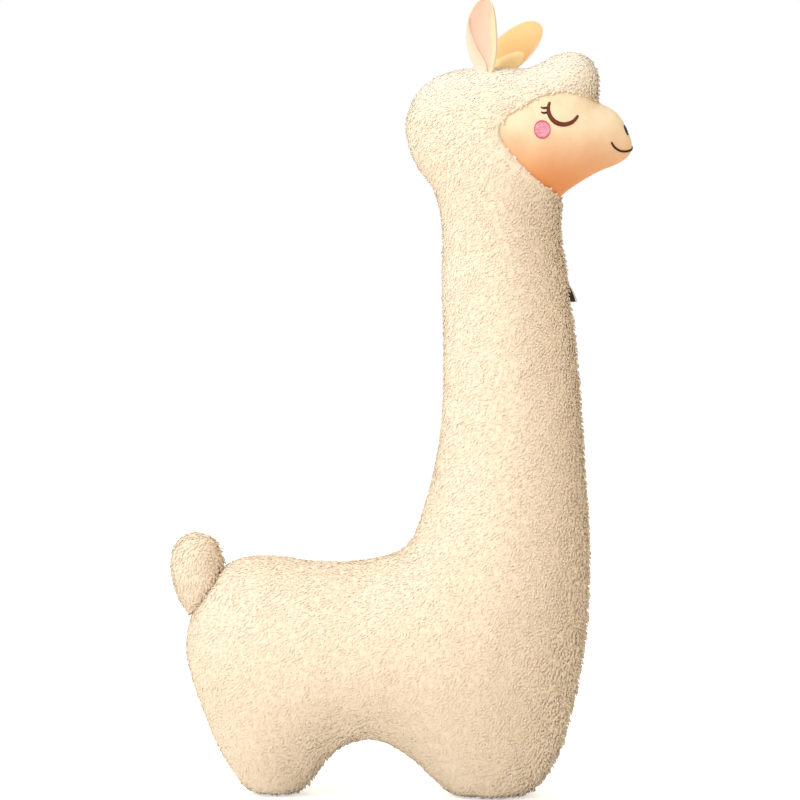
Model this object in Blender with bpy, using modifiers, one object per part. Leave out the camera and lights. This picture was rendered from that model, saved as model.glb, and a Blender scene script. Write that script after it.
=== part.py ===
"""A plush alpaca with a long neck, standing on two soft feet that the floor presses flat.

Two fleece side panels and two smooth face panels are sewn along the animal's outline round one
filling. The tail is a small stuffed pouch of its own, each ear is a cover with a lining, and the
face is embroidered. +X runs towards the nose, +Y is the animal's left side, and Z is up from the
floor. All lengths are in metres and all angles in degrees.
"""

import math

import bmesh
import bpy
import numpy as np
from mathutils import Matrix, Vector
from mathutils.geometry import delaunay_2d_cdt, interpolate_bezier

# Cloth, filling and fit
PILE_THICKNESS = 0.008
FACE_CLOTH = 0.0015
EAR_CLOTH = 0.0014
THREAD_HEIGHT = 0.0010
CLEARANCE = 0.0003
FULLNESS = 0.84

# Facets of the stuffed forms: the outline, the inside, the finer face and the feet
OUTLINE_FACET = 0.024
INSIDE_FACET = 0.032
FACE_FACET = 0.012
FOOT_FACET = 0.015
EDGE_RINGS = (0.003, 0.011)

# Trunk, as the sewn outline runs
RUMP_X = -0.264
RUMP_Z = 0.205
RUMP_CORNER = 0.036
BACK_Z = 0.2955
BACK_DIP = 0.006
BACK_DIP_X = -0.098
CROUP_X = -0.170
CROOK_X = -0.030
CROOK_RADIUS = 0.060
CHEST_X = 0.2314
CHEST_Z = 0.302

# Legs and the arch between them
HOCK_X = -0.242
HOCK_Z = 0.104
REAR_FOOT_X = -0.158
REAR_FOOT_LENGTH = 0.096
FRONT_FOOT_X = 0.110
FRONT_FOOT_LENGTH = 0.139
KNEE_X = 0.2130
KNEE_Z = 0.124
FOOT_ROUND = 0.030
SOLE_PRESS = 0.020
ARCH_X = -0.036
ARCH_Z = 0.0775
ARCH_SPREAD = 0.054
ARCH_FALL = 0.020

# Neck, above the back
NECK_LENGTH = 0.4535
NECK_TOP_X = 0.1245
NECK_TOP_WIDTH = 0.139
NECK_MIDDLE_X = 0.137
NECK_MIDDLE_WIDTH = 0.156
NECK_BASE_X = 0.1395
NECK_BASE_WIDTH = 0.173
NECK_STATIONS = (0.23, 0.56, 0.96)

# Head: a round skull, a curl of forelock over the brow, and the muzzle's tip
HEAD_SETBACK = 0.0445
HEAD_RISE = 0.089
SKULL_RADIUS = 0.069
FORELOCK_REACH = 0.133
FORELOCK_LIFT = 0.062
FORELOCK_RADIUS = 0.030
MUZZLE_REACH = 0.2104
MUZZLE_DROP = 0.023

# Points that curved lines pass through, from the head's centre or the muzzle's tip
JAW_LINE = ((0.118, -0.087), (0.139, -0.070))
NOSE_LINE = ((-0.0399, -0.0290), (-0.0196, -0.0213), (-0.0078, -0.0140), (-0.0014, -0.0066), (0, 0.0016),
             (-0.0047, 0.0130), (-0.0127, 0.0313), (-0.0268, 0.0476))
BROW_CORNER = (0.1620, 0.0335)
CROWN_LINE = ((0.0800, 0.0700), (0.0450, 0.0715))
NAPE_LINE = ((-0.0490, -0.0540), (-0.0371, -0.0675))
FACE_SEAM = ((0.1200, -0.0860), (0.0950, -0.0670), (0.0706, -0.0435), (0.0506, -0.0200),
             (0.0435, 0.0000), (0.0530, 0.0134), (0.0840, 0.0335), (0.1086, 0.0446),
             (0.1310, 0.0458), (0.1466, 0.0414), (0.1656, 0.0336))

# Embroidery, with places from the head's centre or the muzzle's tip
EYE_REACH = 0.1235
EYE_LIFT = 0.0235
EYE_RADIUS = 0.0190
EYE_WIDTH = 0.0044
EYE_END_WIDTH = 0.0018
EYE_ANGLES = (155, 335)
LASH_ANGLES = (175, 191)
LASH_LENGTH = 0.0068
LASH_WIDTH = 0.0015
CHEEK_REACH = 0.0970
CHEEK_LIFT = -0.0015
CHEEK_WIDTH = 0.0188
CHEEK_HEIGHT = 0.0212
MOUTH_BACK = 0.0119
MOUTH_LIFT = 0.0115
MOUTH_RADIUS = 0.0175
MOUTH_WIDTH = 0.0019
MOUTH_ANGLES = (200, 318)
NOSTRIL_LINE = ((-0.0128, 0.0262), (-0.0094, 0.0190), (-0.0072, 0.0146))
NOSTRIL_WIDTH = 0.0019

# Ears, sewn into the top of the head and leaning forward by unlike angles
EAR_REACH = 0.0255
EAR_APART = 0.050
EAR_LENGTH = 0.091
EAR_WIDTH = 0.0390
EAR_ROOT = 0.024
EAR_CURL = 0.010
EAR_HEM = 0.0022
EAR_LEANS = {"right": 3, "left": 47}
EAR_ROWS = 10
EAR_COLUMNS = 8

# Tail, a stuffed pouch on the rump
TAIL_X = -0.2565
TAIL_Z = 0.3000
TAIL_RADIUS = 0.0275
TAIL_LENGTH = 0.078
TAIL_TIP_RADIUS = 0.012
TAIL_LEAN = 16
TAIL_PILE = 0.007
TAIL_FULLNESS = 1.15
TAIL_FACET = 0.010

# Label, a folded tape in the seam at the front of the neck
LABEL_Z = 0.633
LABEL_HEIGHT = 0.022
LABEL_REACH = 0.010
LABEL_THICKNESS = 0.0009

SIDES = {"right": -1, "left": 1}
CUTTER_DEPTH = 0.30
FACE_CUT_MARGIN = 0.040

COLOURS = {
    "fleece": ((0.93, 0.85, 0.69), 0.95),
    "face": ((0.95, 0.66, 0.40), 0.75),
    "filling": ((0.92, 0.92, 0.90), 1.00),
    "ear": ((0.96, 0.80, 0.46), 0.80),
    "ear_lining": ((0.95, 0.78, 0.66), 0.75),
    "brown_thread": ((0.15, 0.03, 0.01), 0.45),
    "black_thread": ((0.02, 0.01, 0.01), 0.45),
    "pink_thread": ((0.83, 0.27, 0.32), 0.45),
    "label": ((0.92, 0.92, 0.90), 0.40),
}


# Scene helpers

def clear_scene():
    """Remove every object that the file opened with."""
    for thing in list(bpy.data.objects):
        bpy.data.objects.remove(thing, do_unlink=True)


def make_collection(name):
    """A new collection in the scene."""
    collection = bpy.data.collections.new(name)
    bpy.context.scene.collection.children.link(collection)
    return collection


def make_material(name):
    """A Principled material with a colour and roughness from the table."""
    colour, roughness = COLOURS[name]
    material = bpy.data.materials.new(name)
    material.use_nodes = True
    shader = material.node_tree.nodes["Principled BSDF"]
    shader.inputs["Base Color"].default_value = (*colour, 1)
    shader.inputs["Roughness"].default_value = roughness
    shader.inputs["Metallic"].default_value = 0
    return material


def add_object(name, mesh, collection, material=None):
    """An object for a mesh, in a collection, with its own copy of a material."""
    thing = bpy.data.objects.new(name, mesh)
    collection.objects.link(thing)
    if material is not None:
        thing.data.materials.clear()
        thing.data.materials.append(material)
    return thing


def add_cutter(name, mesh):
    """A guide object that only cuts, drawn as wire and left out of the model."""
    cutter = add_object(name, mesh, CUTTERS)
    cutter.hide_render = True
    cutter.display_type = "WIRE"
    return cutter


def cut(thing, cutter, operation):
    """Add an exact Boolean modifier to an object."""
    modifier = thing.modifiers.new(f"{operation.lower()} {cutter.name}", "BOOLEAN")
    modifier.operation = operation
    modifier.solver = "EXACT"
    modifier.object = cutter
    return thing


# Flat patterns

def smooth_curve(points, closed, steps=12):
    """Points of a smooth curve through the given points, by Bezier spans."""
    points = [Vector(point) for point in points]
    count = len(points)
    lengths = [(points[(i + 1) % count] - points[i]).length for i in range(count)]
    tangents = []
    for i in range(count):
        ahead = (points[(i + 1) % count] - points[i]) / lengths[i]
        behind = (points[i] - points[i - 1]) / lengths[i - 1]
        if not closed and i == 0:
            tangents.append(ahead)
        elif not closed and i == count - 1:
            tangents.append(behind)
        else:
            blend = lengths[i] / (lengths[i] + lengths[i - 1])
            tangents.append(ahead.lerp(behind, blend))
    curve = []
    for i in range(count if closed else count - 1):
        after = (i + 1) % count
        reach = lengths[i] / 3
        start_handle = points[i] + tangents[i] * reach
        end_handle = points[after] - tangents[after] * reach
        span = interpolate_bezier(points[i], start_handle, end_handle, points[after], steps + 1)
        curve.extend(span[:-1])
    if not closed:
        curve.append(points[-1])
    return np.array([tuple(point) for point in curve])


def even_loop(loop, spacing, fine_areas=()):
    """The same closed loop with its points evenly spaced, and closer inside the fine areas."""
    ring = np.vstack([loop, loop[:1]])
    wanted = np.full(len(loop), spacing)
    for area, fine_spacing in fine_areas:
        wanted[inside(area, loop)] = fine_spacing
    steps = np.linalg.norm(np.diff(ring, axis=0), axis=1) / wanted
    travelled = np.concatenate([[0], np.cumsum(steps)])
    count = max(8, round(travelled[-1]))
    stations = np.linspace(0, travelled[-1], count, endpoint=False)
    return np.column_stack([np.interp(stations, travelled, ring[:, axis]) for axis in (0, 1)])


def arc(centre, radius, first, last, count):
    """Points on an arc, by angle from +X."""
    angles = np.radians(np.linspace(first, last, count))
    return [(centre[0] + radius * math.cos(a), centre[1] + radius * math.sin(a)) for a in angles]


def shifted(origin, offsets):
    """Points at given offsets from an origin."""
    return [(origin[0] + offset[0], origin[1] + offset[1]) for offset in offsets]


def ellipse(centre, width, height, count=28):
    """A closed ellipse."""
    turns = np.linspace(0, 2 * math.pi, count, endpoint=False)
    return np.column_stack([centre[0] + width / 2 * np.cos(turns),
                            centre[1] + height / 2 * np.sin(turns)])


def ribbon(line, widths):
    """The outline of a stroke of changing width along a line."""
    line = np.asarray(line, dtype=float)
    along = np.gradient(line, axis=0)
    along /= np.linalg.norm(along, axis=1, keepdims=True)
    across = np.column_stack([-along[:, 1], along[:, 0]])
    half = np.asarray(widths, dtype=float)[:, None] / 2
    return np.vstack([line + across * half, (line - across * half)[::-1]])


def inside(loop, points, margin=0):
    """Which points lie inside a loop and at least a margin away from it."""
    ahead = np.roll(loop, -1, axis=0)
    x, z = points[:, 0, None], points[:, 1, None]
    straddles = (loop[:, 1] > z) != (ahead[:, 1] > z)
    rise = np.where(ahead[:, 1] == loop[:, 1], 1, ahead[:, 1] - loop[:, 1])
    crossing = loop[:, 0] + (z - loop[:, 1]) / rise * (ahead[:, 0] - loop[:, 0])
    within = np.sum(straddles & (x < crossing), axis=1) % 2 == 1
    edge = ahead - loop
    share = ((points[:, None] - loop) * edge).sum(axis=2) / (edge ** 2).sum(axis=1)
    nearest = loop + np.clip(share, 0, 1)[..., None] * edge
    distance = np.linalg.norm(points[:, None] - nearest, axis=2).min(axis=1)
    return within & (distance >= margin * 0.999)


# Stuffed forms: a flat pattern, blown up as two sewn sheets are

def spread_points(kept, candidates, spacings):
    """Add the candidates that stand clear of every point kept so far."""
    kept = list(kept)
    for candidate, spacing in zip(candidates, spacings):
        gaps = np.linalg.norm(np.array(kept) - candidate, axis=1)
        if gaps.min() >= spacing:
            kept.append(candidate)
    return np.array(kept)


def hex_lattice(low, high, spacing):
    """A staggered lattice of points over a rectangle."""
    row_height = spacing * math.sqrt(3) / 2
    points = []
    for row in range(int((high[1] - low[1]) / row_height) + 1):
        shift = spacing / 2 * (row % 2)
        for column in range(int((high[0] - low[0]) / spacing) + 1):
            points.append((low[0] + shift + column * spacing, low[1] + row * row_height))
    return np.array(points)


def fill_pattern(loop, inside_facet, fine_areas):
    """Triangulate a pattern: its outline, two rings along it and a lattice inside."""
    points = loop.copy()
    ahead = np.roll(loop, -1, axis=0) - np.roll(loop, 1, axis=0)
    inward = np.column_stack([-ahead[:, 1], ahead[:, 0]])
    inward /= np.linalg.norm(inward, axis=1, keepdims=True)
    half_spacing = np.linalg.norm(ahead, axis=1) / 4
    for depth in EDGE_RINGS:
        ring = loop + inward * depth
        clear = inside(loop, ring, depth * 0.9)
        ring, gaps = ring[clear], half_spacing[clear]
        points = np.vstack([points, spread_points(ring[:1], ring[1:], gaps[1:])])
    for area, facet in [*fine_areas, (None, inside_facet)]:
        lattice = hex_lattice(loop.min(axis=0), loop.max(axis=0), facet)
        lattice = lattice[inside(loop, lattice, EDGE_RINGS[-1] + facet * 0.45)]
        if area is not None:
            lattice = lattice[inside(area, lattice)]
        points = spread_points(points, lattice, [facet * 0.7] * len(lattice))
    outline = [list(range(len(loop)))]
    placed, _, triangles, *_ = delaunay_2d_cdt([Vector(p) for p in points], [], outline, 1, 1e-7)
    placed = np.array([tuple(p) for p in placed])
    return placed, np.array([tuple(t) for t in triangles if len(t) == 3])


def membrane(points, triangles, edge):
    """Height of a membrane held at its edge under an even pressure, at each point."""
    count = len(points)
    stiffness = np.zeros((count, count))
    load = np.zeros(count)
    for triangle in triangles:
        corner = points[triangle]
        opposite = np.roll(corner, -1, axis=0) - np.roll(corner, -2, axis=0)
        first, second = corner[1] - corner[0], corner[2] - corner[0]
        area = abs(first[0] * second[1] - first[1] * second[0]) / 2
        stiffness[np.ix_(triangle, triangle)] += opposite @ opposite.T / (4 * area)
        load[triangle] += area / 3
    free = ~edge
    height = np.zeros(count)
    height[free] = np.linalg.solve(stiffness[np.ix_(free, free)], load[free])
    return height


class StuffedForm:
    """A flat pattern blown up into a cushion that is even about the plane y = 0."""

    def __init__(self, loop, fullness, inside_facet, fine_areas=(), floor=None):
        points, self.triangles = fill_pattern(loop, inside_facet, fine_areas)
        self.edge = np.arange(len(points)) < len(loop)
        half = fullness * np.sqrt(2 * membrane(points, self.triangles, self.edge))
        height = points[:, 1] if floor is None else np.maximum(points[:, 1], floor)
        self.surface = np.column_stack([points[:, 0], half, height])
        self.normals = self.vertex_normals(points[self.triangles])

    def vertex_normals(self, flat):
        """Outward normals of the left half, lying in the plane y = 0 along the edge."""
        corner = self.surface[self.triangles]
        facing = np.cross(corner[:, 1] - corner[:, 0], corner[:, 2] - corner[:, 0])
        first, second = flat[:, 1] - flat[:, 0], flat[:, 2] - flat[:, 0]
        facing[first[:, 0] * second[:, 1] > first[:, 1] * second[:, 0]] *= -1
        normals = np.zeros_like(self.surface)
        for index in range(3):
            np.add.at(normals, self.triangles[:, index], facing)
        normals[self.edge, 1] = 0
        return normals / np.linalg.norm(normals, axis=1, keepdims=True)

    def offset(self, distance, side, seam):
        """The half surface at a distance outward, on one side, a seam's width off the plane."""
        moved = self.surface + self.normals * distance
        moved[:, 1] = np.maximum(moved[:, 1], 0) + seam
        moved[:, 1] *= side
        return moved

    def shell(self, side, inner, outer):
        """A closed sheet of cloth between two distances from the sewn surface."""
        seam = CLEARANCE / 2
        layers = np.vstack([self.offset(inner, side, seam), self.offset(outer, side, seam)])
        count = len(self.surface)
        rim = np.flatnonzero(self.edge)
        faces = [tuple(t) for t in self.triangles]
        faces += [tuple(t + count) for t in self.triangles[:, ::-1]]
        for here, there in zip(rim, np.roll(rim, -1)):
            faces += [(here, there, there + count), (here, there + count, here + count)]
        return closed_mesh(layers, faces)

    def solid(self, distance):
        """The whole closed form at a distance outward from the sewn surface."""
        halves = [self.offset(distance, side, 0) for side in (1, -1)]
        count = len(self.surface)
        twin = np.where(self.edge, np.arange(count), np.arange(count) + count)
        faces = [tuple(t) for t in self.triangles]
        faces += [tuple(twin[t[::-1]]) for t in self.triangles]
        return closed_mesh(np.vstack(halves), faces)


def closed_mesh(points, faces):
    """A mesh from points and faces, with loose points dropped and faces turned outward."""
    mesh = bpy.data.meshes.new("form")
    mesh.from_pydata([tuple(p) for p in points], [], [tuple(map(int, face)) for face in faces])
    shape = bmesh.new()
    shape.from_mesh(mesh)
    loose = [vertex for vertex in shape.verts if not vertex.link_faces]
    bmesh.ops.delete(shape, geom=loose, context="VERTS")
    bmesh.ops.recalc_face_normals(shape, faces=shape.faces)
    shape.to_mesh(mesh)
    shape.free()
    return mesh


def prism(name, loop, low, high, upright=False):
    """A flat outline extruded along Y, or along Z where it is upright."""
    curve = bpy.data.curves.new(name, "CURVE")
    curve.dimensions = "2D"
    curve.fill_mode = "BOTH"
    curve.extrude = (high - low) / 2
    spline = curve.splines.new("POLY")
    spline.points.add(len(loop) - 1)
    for point, (x, y) in zip(spline.points, loop):
        point.co = (x, y, 0, 1)
    spline.use_cyclic_u = True
    outline = add_object(name + "_outline", curve, CUTTERS)
    middle = (high + low) / 2
    if upright:
        outline.matrix_world = Matrix.Translation((0, 0, middle))
    else:
        outline.matrix_world = Matrix.Translation((0, middle, 0)) @ Matrix.Rotation(math.pi / 2, 4, "X")
    bpy.context.view_layer.update()
    evaluated = outline.evaluated_get(bpy.context.evaluated_depsgraph_get())
    mesh = bpy.data.meshes.new_from_object(evaluated)
    mesh.transform(outline.matrix_world)
    bpy.data.objects.remove(outline, do_unlink=True)
    shape = bmesh.new()
    shape.from_mesh(mesh)
    bmesh.ops.remove_doubles(shape, verts=shape.verts, dist=1e-6)
    bmesh.ops.recalc_face_normals(shape, faces=shape.faces)
    shape.to_mesh(mesh)
    shape.free()
    return mesh


# Places that several pieces share

def neck_top():
    """Centre of the neck where it meets the throat."""
    return NECK_TOP_X, BACK_Z + NECK_LENGTH


def head_centre():
    """Centre of the round skull."""
    top_x, top_z = neck_top()
    return top_x - HEAD_SETBACK, top_z + HEAD_RISE


def muzzle_tip():
    """Foremost point of the muzzle's sewn outline."""
    x, z = head_centre()
    return x + MUZZLE_REACH, z - MUZZLE_DROP


def neck_side(share, side):
    """A point on the neck's front or back edge, at a share of its height above the back."""
    centre = np.interp(share, NECK_STATIONS, (NECK_BASE_X, NECK_MIDDLE_X, NECK_TOP_X))
    width = np.interp(share, NECK_STATIONS, (NECK_BASE_WIDTH, NECK_MIDDLE_WIDTH, NECK_TOP_WIDTH))
    return centre + side * width / 2, BACK_Z + share * NECK_LENGTH


def foot(centre_x, length):
    """The heel, pressed sole and toe of one foot."""
    return [(centre_x - length / 2, FOOT_ROUND), (centre_x, -SOLE_PRESS),
            (centre_x + length / 2, FOOT_ROUND)]


def body_outline():
    """The closed seam line of the body, from the rear foot round by the chest and the head."""
    head = head_centre()
    forelock = (head[0] + FORELOCK_REACH, head[1] + FORELOCK_LIFT)
    points = foot(REAR_FOOT_X, REAR_FOOT_LENGTH)
    points += [(ARCH_X - ARCH_SPREAD, ARCH_Z - ARCH_FALL), (ARCH_X, ARCH_Z),
               (ARCH_X + ARCH_SPREAD, ARCH_Z - ARCH_FALL * 1.3)]
    points += foot(FRONT_FOOT_X, FRONT_FOOT_LENGTH)
    points += [(KNEE_X, KNEE_Z), (CHEST_X, CHEST_Z)]
    points += [neck_side(share, 1) for share in (0.23, 0.56, 0.78, 0.96)]
    points += shifted(head, JAW_LINE)
    points += shifted(muzzle_tip(), NOSE_LINE)
    points += shifted(head, [BROW_CORNER])
    points += arc(forelock, FORELOCK_RADIUS, -10, 115, 4)
    points += shifted(head, CROWN_LINE)
    points += arc(head, SKULL_RADIUS, 92, 205, 5)
    points += shifted(head, NAPE_LINE)
    points += [neck_side(share, -1) for share in (0.96, 0.78, 0.56, 0.36)]
    points += arc((CROOK_X, BACK_Z + CROOK_RADIUS), CROOK_RADIUS, -8, -86, 4)
    points += [(BACK_DIP_X, BACK_Z - BACK_DIP), (CROUP_X, BACK_Z + BACK_DIP / 3),
               (RUMP_X + RUMP_CORNER * 1.6, BACK_Z - BACK_DIP / 2),
               (RUMP_X + RUMP_CORNER * 0.8, BACK_Z - RUMP_CORNER * 0.8),
               (RUMP_X, RUMP_Z), (HOCK_X, HOCK_Z)]
    return even_loop(smooth_curve(points, closed=True), OUTLINE_FACET, fine_areas())


def fine_areas():
    """The parts of the pattern that are modelled with finer facets, and how fine they are."""
    x, z = head_centre()
    face = ellipse((x + MUZZLE_REACH * 0.75, z), MUZZLE_REACH * 1.1, SKULL_RADIUS * 3)
    areas = [(face, FACE_FACET)]
    for foot_x, length in ((REAR_FOOT_X, REAR_FOOT_LENGTH), (FRONT_FOOT_X, FRONT_FOOT_LENGTH)):
        areas.append((ellipse((foot_x, 0), length * 1.2, FOOT_ROUND * 3), FOOT_FACET))
    return areas


def face_outline():
    """The seam between face and fleece, closed round the muzzle well clear of its cloth."""
    head = head_centre()
    seam = smooth_curve(shifted(head, FACE_SEAM), closed=False)
    tip = muzzle_tip()
    far = tip[0] + FACE_CUT_MARGIN
    ends = [(far, seam[-1, 1] + (far - seam[-1, 0]) * 0.7), (far, seam[0, 1] - FACE_CUT_MARGIN),
            (seam[0, 0] + FACE_CUT_MARGIN * 0.4, seam[0, 1] - FACE_CUT_MARGIN)]
    return np.vstack([seam, ends])


def tail_outline():
    """The tail's egg-shaped seam line: a round end above a narrow root, leaning back."""
    lean = math.radians(TAIL_LEAN)
    root = (TAIL_X + TAIL_LENGTH * math.sin(lean) * 0.5, TAIL_Z - TAIL_LENGTH * math.cos(lean))
    points = arc((TAIL_X, TAIL_Z), TAIL_RADIUS, 0, 180, 7)
    points += arc(root, TAIL_TIP_RADIUS, 200, 340, 4)
    return even_loop(smooth_curve(points, closed=True), TAIL_FACET)


# Pieces of the body

def make_body(form):
    """The filling, the fleece side panels and the smooth face panels."""
    add_object("body_filling", form.solid(-CLEARANCE), PARTS, MATERIALS["filling"])
    face_loop = face_outline()
    wide_cutter = add_cutter("face_opening", prism("face_opening", face_loop, -CUTTER_DEPTH, CUTTER_DEPTH))
    narrow_loop = shrink_loop(face_loop, CLEARANCE)
    narrow_cutter = add_cutter("face_area", prism("face_area", narrow_loop, -CUTTER_DEPTH, CUTTER_DEPTH))
    for name, side in SIDES.items():
        fleece = add_object(f"fleece_panel_{name}", form.shell(side, 0, PILE_THICKNESS), PARTS,
                            MATERIALS["fleece"])
        cut(fleece, wide_cutter, "DIFFERENCE")
        face = add_object(f"face_panel_{name}", form.shell(side, 0, FACE_CLOTH), PARTS,
                          MATERIALS["face"])
        cut(face, narrow_cutter, "INTERSECT")


def shrink_loop(loop, distance):
    """The same loop with each point moved inward."""
    ahead = np.roll(loop, -1, axis=0) - np.roll(loop, 1, axis=0)
    left = np.column_stack([-ahead[:, 1], ahead[:, 0]])
    left /= np.linalg.norm(left, axis=1, keepdims=True)
    x, z = loop[:, 0], loop[:, 1]
    turns_left = np.sum(x * np.roll(z, -1) - np.roll(x, -1) * z) > 0
    return loop + left * (distance if turns_left else -distance)


def embroider(form, name, side, loop, material):
    """A stitched patch: an outline seen from the side, raised on the face's cloth."""
    low, high = sorted((0, SIDES[side] * CUTTER_DEPTH))
    base = FACE_CLOTH + CLEARANCE
    patch = add_object(f"{name}_{side}", form.shell(SIDES[side], base, base + THREAD_HEIGHT), PARTS,
                       MATERIALS[material])
    cutter = add_cutter(f"{name}_{side}_stitches", prism(f"{name}_{side}", loop, low, high))
    cut(patch, cutter, "INTERSECT")


def eye_loop():
    """The closed lid: an arc that is thickest at its lowest point."""
    head = head_centre()
    centre = (head[0] + EYE_REACH, head[1] + EYE_LIFT)
    line = arc(centre, EYE_RADIUS, *EYE_ANGLES, 22)
    swell = np.sin(np.linspace(0, math.pi, len(line)))
    return ribbon(line, EYE_END_WIDTH + (EYE_WIDTH - EYE_END_WIDTH) * swell)


def lash_loop(angle):
    """One lash: a short level stroke that starts just off the lid."""
    head = head_centre()
    centre = (head[0] + EYE_REACH, head[1] + EYE_LIFT)
    start = arc(centre, EYE_RADIUS + EYE_WIDTH / 2 + CLEARANCE, angle, angle, 1)[0]
    line = [(start[0] - LASH_LENGTH * share, start[1]) for share in (0, 0.5, 1)]
    return ribbon(line, [LASH_WIDTH] * 2 + [LASH_WIDTH * 0.6])


def mouth_loop():
    """One half of the smile, ending at the seam under the nose."""
    tip = muzzle_tip()
    line = arc((tip[0] - MOUTH_BACK, tip[1] + MOUTH_LIFT), MOUTH_RADIUS, *MOUTH_ANGLES, 16)
    return ribbon(line, [MOUTH_WIDTH] * len(line))


def nostril_loop():
    """One nostril: a short stroke that tapers at both ends."""
    line = smooth_curve(shifted(muzzle_tip(), NOSTRIL_LINE), closed=False, steps=5)
    swell = np.sin(np.linspace(0.3, math.pi - 0.3, len(line)))
    return ribbon(line, NOSTRIL_WIDTH * swell)


def make_face(form):
    """Eyes, lashes, cheeks, mouth and nostrils on both sides."""
    head = head_centre()
    cheek = ellipse((head[0] + CHEEK_REACH, head[1] + CHEEK_LIFT), CHEEK_WIDTH, CHEEK_HEIGHT)
    for side in SIDES:
        embroider(form, "eye", side, eye_loop(), "brown_thread")
        for number, angle in enumerate(LASH_ANGLES, start=1):
            embroider(form, f"lash_{number}", side, lash_loop(angle), "brown_thread")
        embroider(form, "cheek", side, cheek, "pink_thread")
        embroider(form, "mouth", side, mouth_loop(), "black_thread")
        embroider(form, "nostril", side, nostril_loop(), "black_thread")


def ear_half_width(share):
    """Half the ear's width at a share of its length: a narrow root, full middle and round tip."""
    widest = 0.45
    if share < widest:
        return EAR_WIDTH / 2 * (0.68 + 0.32 * math.sin(share / widest * math.pi / 2))
    return EAR_WIDTH / 2 * math.sqrt(max(0, 1 - ((share - widest) / (1 - widest)) ** 2.4))


def ear_sheet(name, side, lift, hem, material):
    """One layer of an ear: a leaf-shaped sheet, cupped outward and sewn into the head."""
    head = head_centre()
    lean = math.radians(EAR_LEANS[side])
    along = Vector((math.sin(lean), 0, math.cos(lean)))
    facing = Vector((0, SIDES[side], 0))
    across = along.cross(facing)
    root = Vector((head[0] + EAR_REACH, SIDES[side] * EAR_APART / 2, head[1] + SKULL_RADIUS))
    length = EAR_LENGTH - hem
    bpy.ops.mesh.primitive_grid_add(x_subdivisions=EAR_COLUMNS, y_subdivisions=EAR_ROWS, size=2)
    sheet = bpy.context.active_object
    sheet.name = name
    for vertex in sheet.data.vertices:
        part = math.sin((vertex.co.y + 1) / 2 * math.pi / 2)
        travel = -EAR_ROOT + (length + EAR_ROOT) * part
        share = max(0, travel / EAR_LENGTH)
        reach = max(ear_half_width(share) - hem, EAR_HEM / 2) * vertex.co.x
        cup = EAR_CURL * ((reach / EAR_WIDTH * 2) ** 2 - 0.5) * (1.4 - share)
        vertex.co = root + along * travel + across * reach + facing * cup
    for collection in list(sheet.users_collection):
        collection.objects.unlink(sheet)
    PARTS.objects.link(sheet)
    sheet.data.materials.append(MATERIALS[material])
    layer = sheet.modifiers.new("layer", "DISPLACE")
    layer.strength = lift
    layer.mid_level = 0
    cloth = sheet.modifiers.new("cloth", "SOLIDIFY")
    cloth.thickness = EAR_CLOTH
    cloth.offset = 0
    return sheet


def make_ears(envelope):
    """Both ears, each an outer layer and a lining that stops short of the hem."""
    for side in SIDES:
        outer = ear_sheet(f"ear_outer_{side}", side, 0, 0, "ear")
        lining = ear_sheet(f"ear_lining_{side}", side, EAR_CLOTH + CLEARANCE * 2, EAR_HEM, "ear_lining")
        for sheet in (outer, lining):
            cut(sheet, envelope, "DIFFERENCE")


def make_tail(form, envelope):
    """The tail's two fleece halves and its filling, trimmed to the rump."""
    filling = add_object("tail_filling", form.solid(-CLEARANCE), PARTS, MATERIALS["filling"])
    cut(filling, envelope, "DIFFERENCE")
    for name, side in SIDES.items():
        half = add_object(f"tail_fleece_{name}", form.shell(side, 0, TAIL_PILE), PARTS,
                          MATERIALS["fleece"])
        cut(half, envelope, "DIFFERENCE")


def make_label(envelope):
    """A folded tape that stands out of the front seam and bends to the left."""
    share = (LABEL_Z - BACK_Z) / NECK_LENGTH
    seam_x = neck_side(share, 1)[0] + PILE_THICKNESS
    bend = LABEL_REACH / 2
    line = [(seam_x - bend, CLEARANCE), (seam_x + bend * 0.6, CLEARANCE * 2),
            (seam_x + bend, bend * 0.5), (seam_x + bend * 1.1, bend * 1.6)]
    path = smooth_curve(line, closed=False, steps=5)
    loop = ribbon(path, [LABEL_THICKNESS] * len(path))
    low, high = LABEL_Z - LABEL_HEIGHT / 2, LABEL_Z + LABEL_HEIGHT / 2
    label = add_object("sewn_label", prism("sewn_label", loop, low, high, upright=True), PARTS,
                       MATERIALS["label"])
    cut(label, envelope, "DIFFERENCE")


clear_scene()
PARTS = make_collection("plush_alpaca")
CUTTERS = make_collection("cutters")
MATERIALS = {name: make_material(name) for name in COLOURS}

body_form = StuffedForm(body_outline(), FULLNESS, INSIDE_FACET, fine_areas(), PILE_THICKNESS)
tail_form = StuffedForm(tail_outline(), TAIL_FULLNESS, TAIL_FACET)
body_envelope = add_cutter("body_envelope", body_form.solid(PILE_THICKNESS + CLEARANCE))

make_body(body_form)
make_face(body_form)
make_ears(body_envelope)
make_tail(tail_form, body_envelope)
make_label(body_envelope)
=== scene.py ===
"""Dresses the plush alpaca: curly fleece, velour face, embroidery, ears, tail tuft and label.

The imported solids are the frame. The body's filling gives the sewn form, which is smoothed and blown up
as cloth. The fleece, the face and everything sewn on them are then laid on that form. +X runs towards
the nose, +Y is the animal's left side and Z is up from the floor. Lengths are in metres.
"""

import math
from functools import lru_cache

import bmesh
import bpy
import numpy as np
from bpy.props import FloatProperty, FloatVectorProperty, IntProperty, PointerProperty
from bpy.types import Operator, Panel, PropertyGroup
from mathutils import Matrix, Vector
from mathutils.bvhtree import BVHTree
from mathutils.kdtree import KDTree


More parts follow.
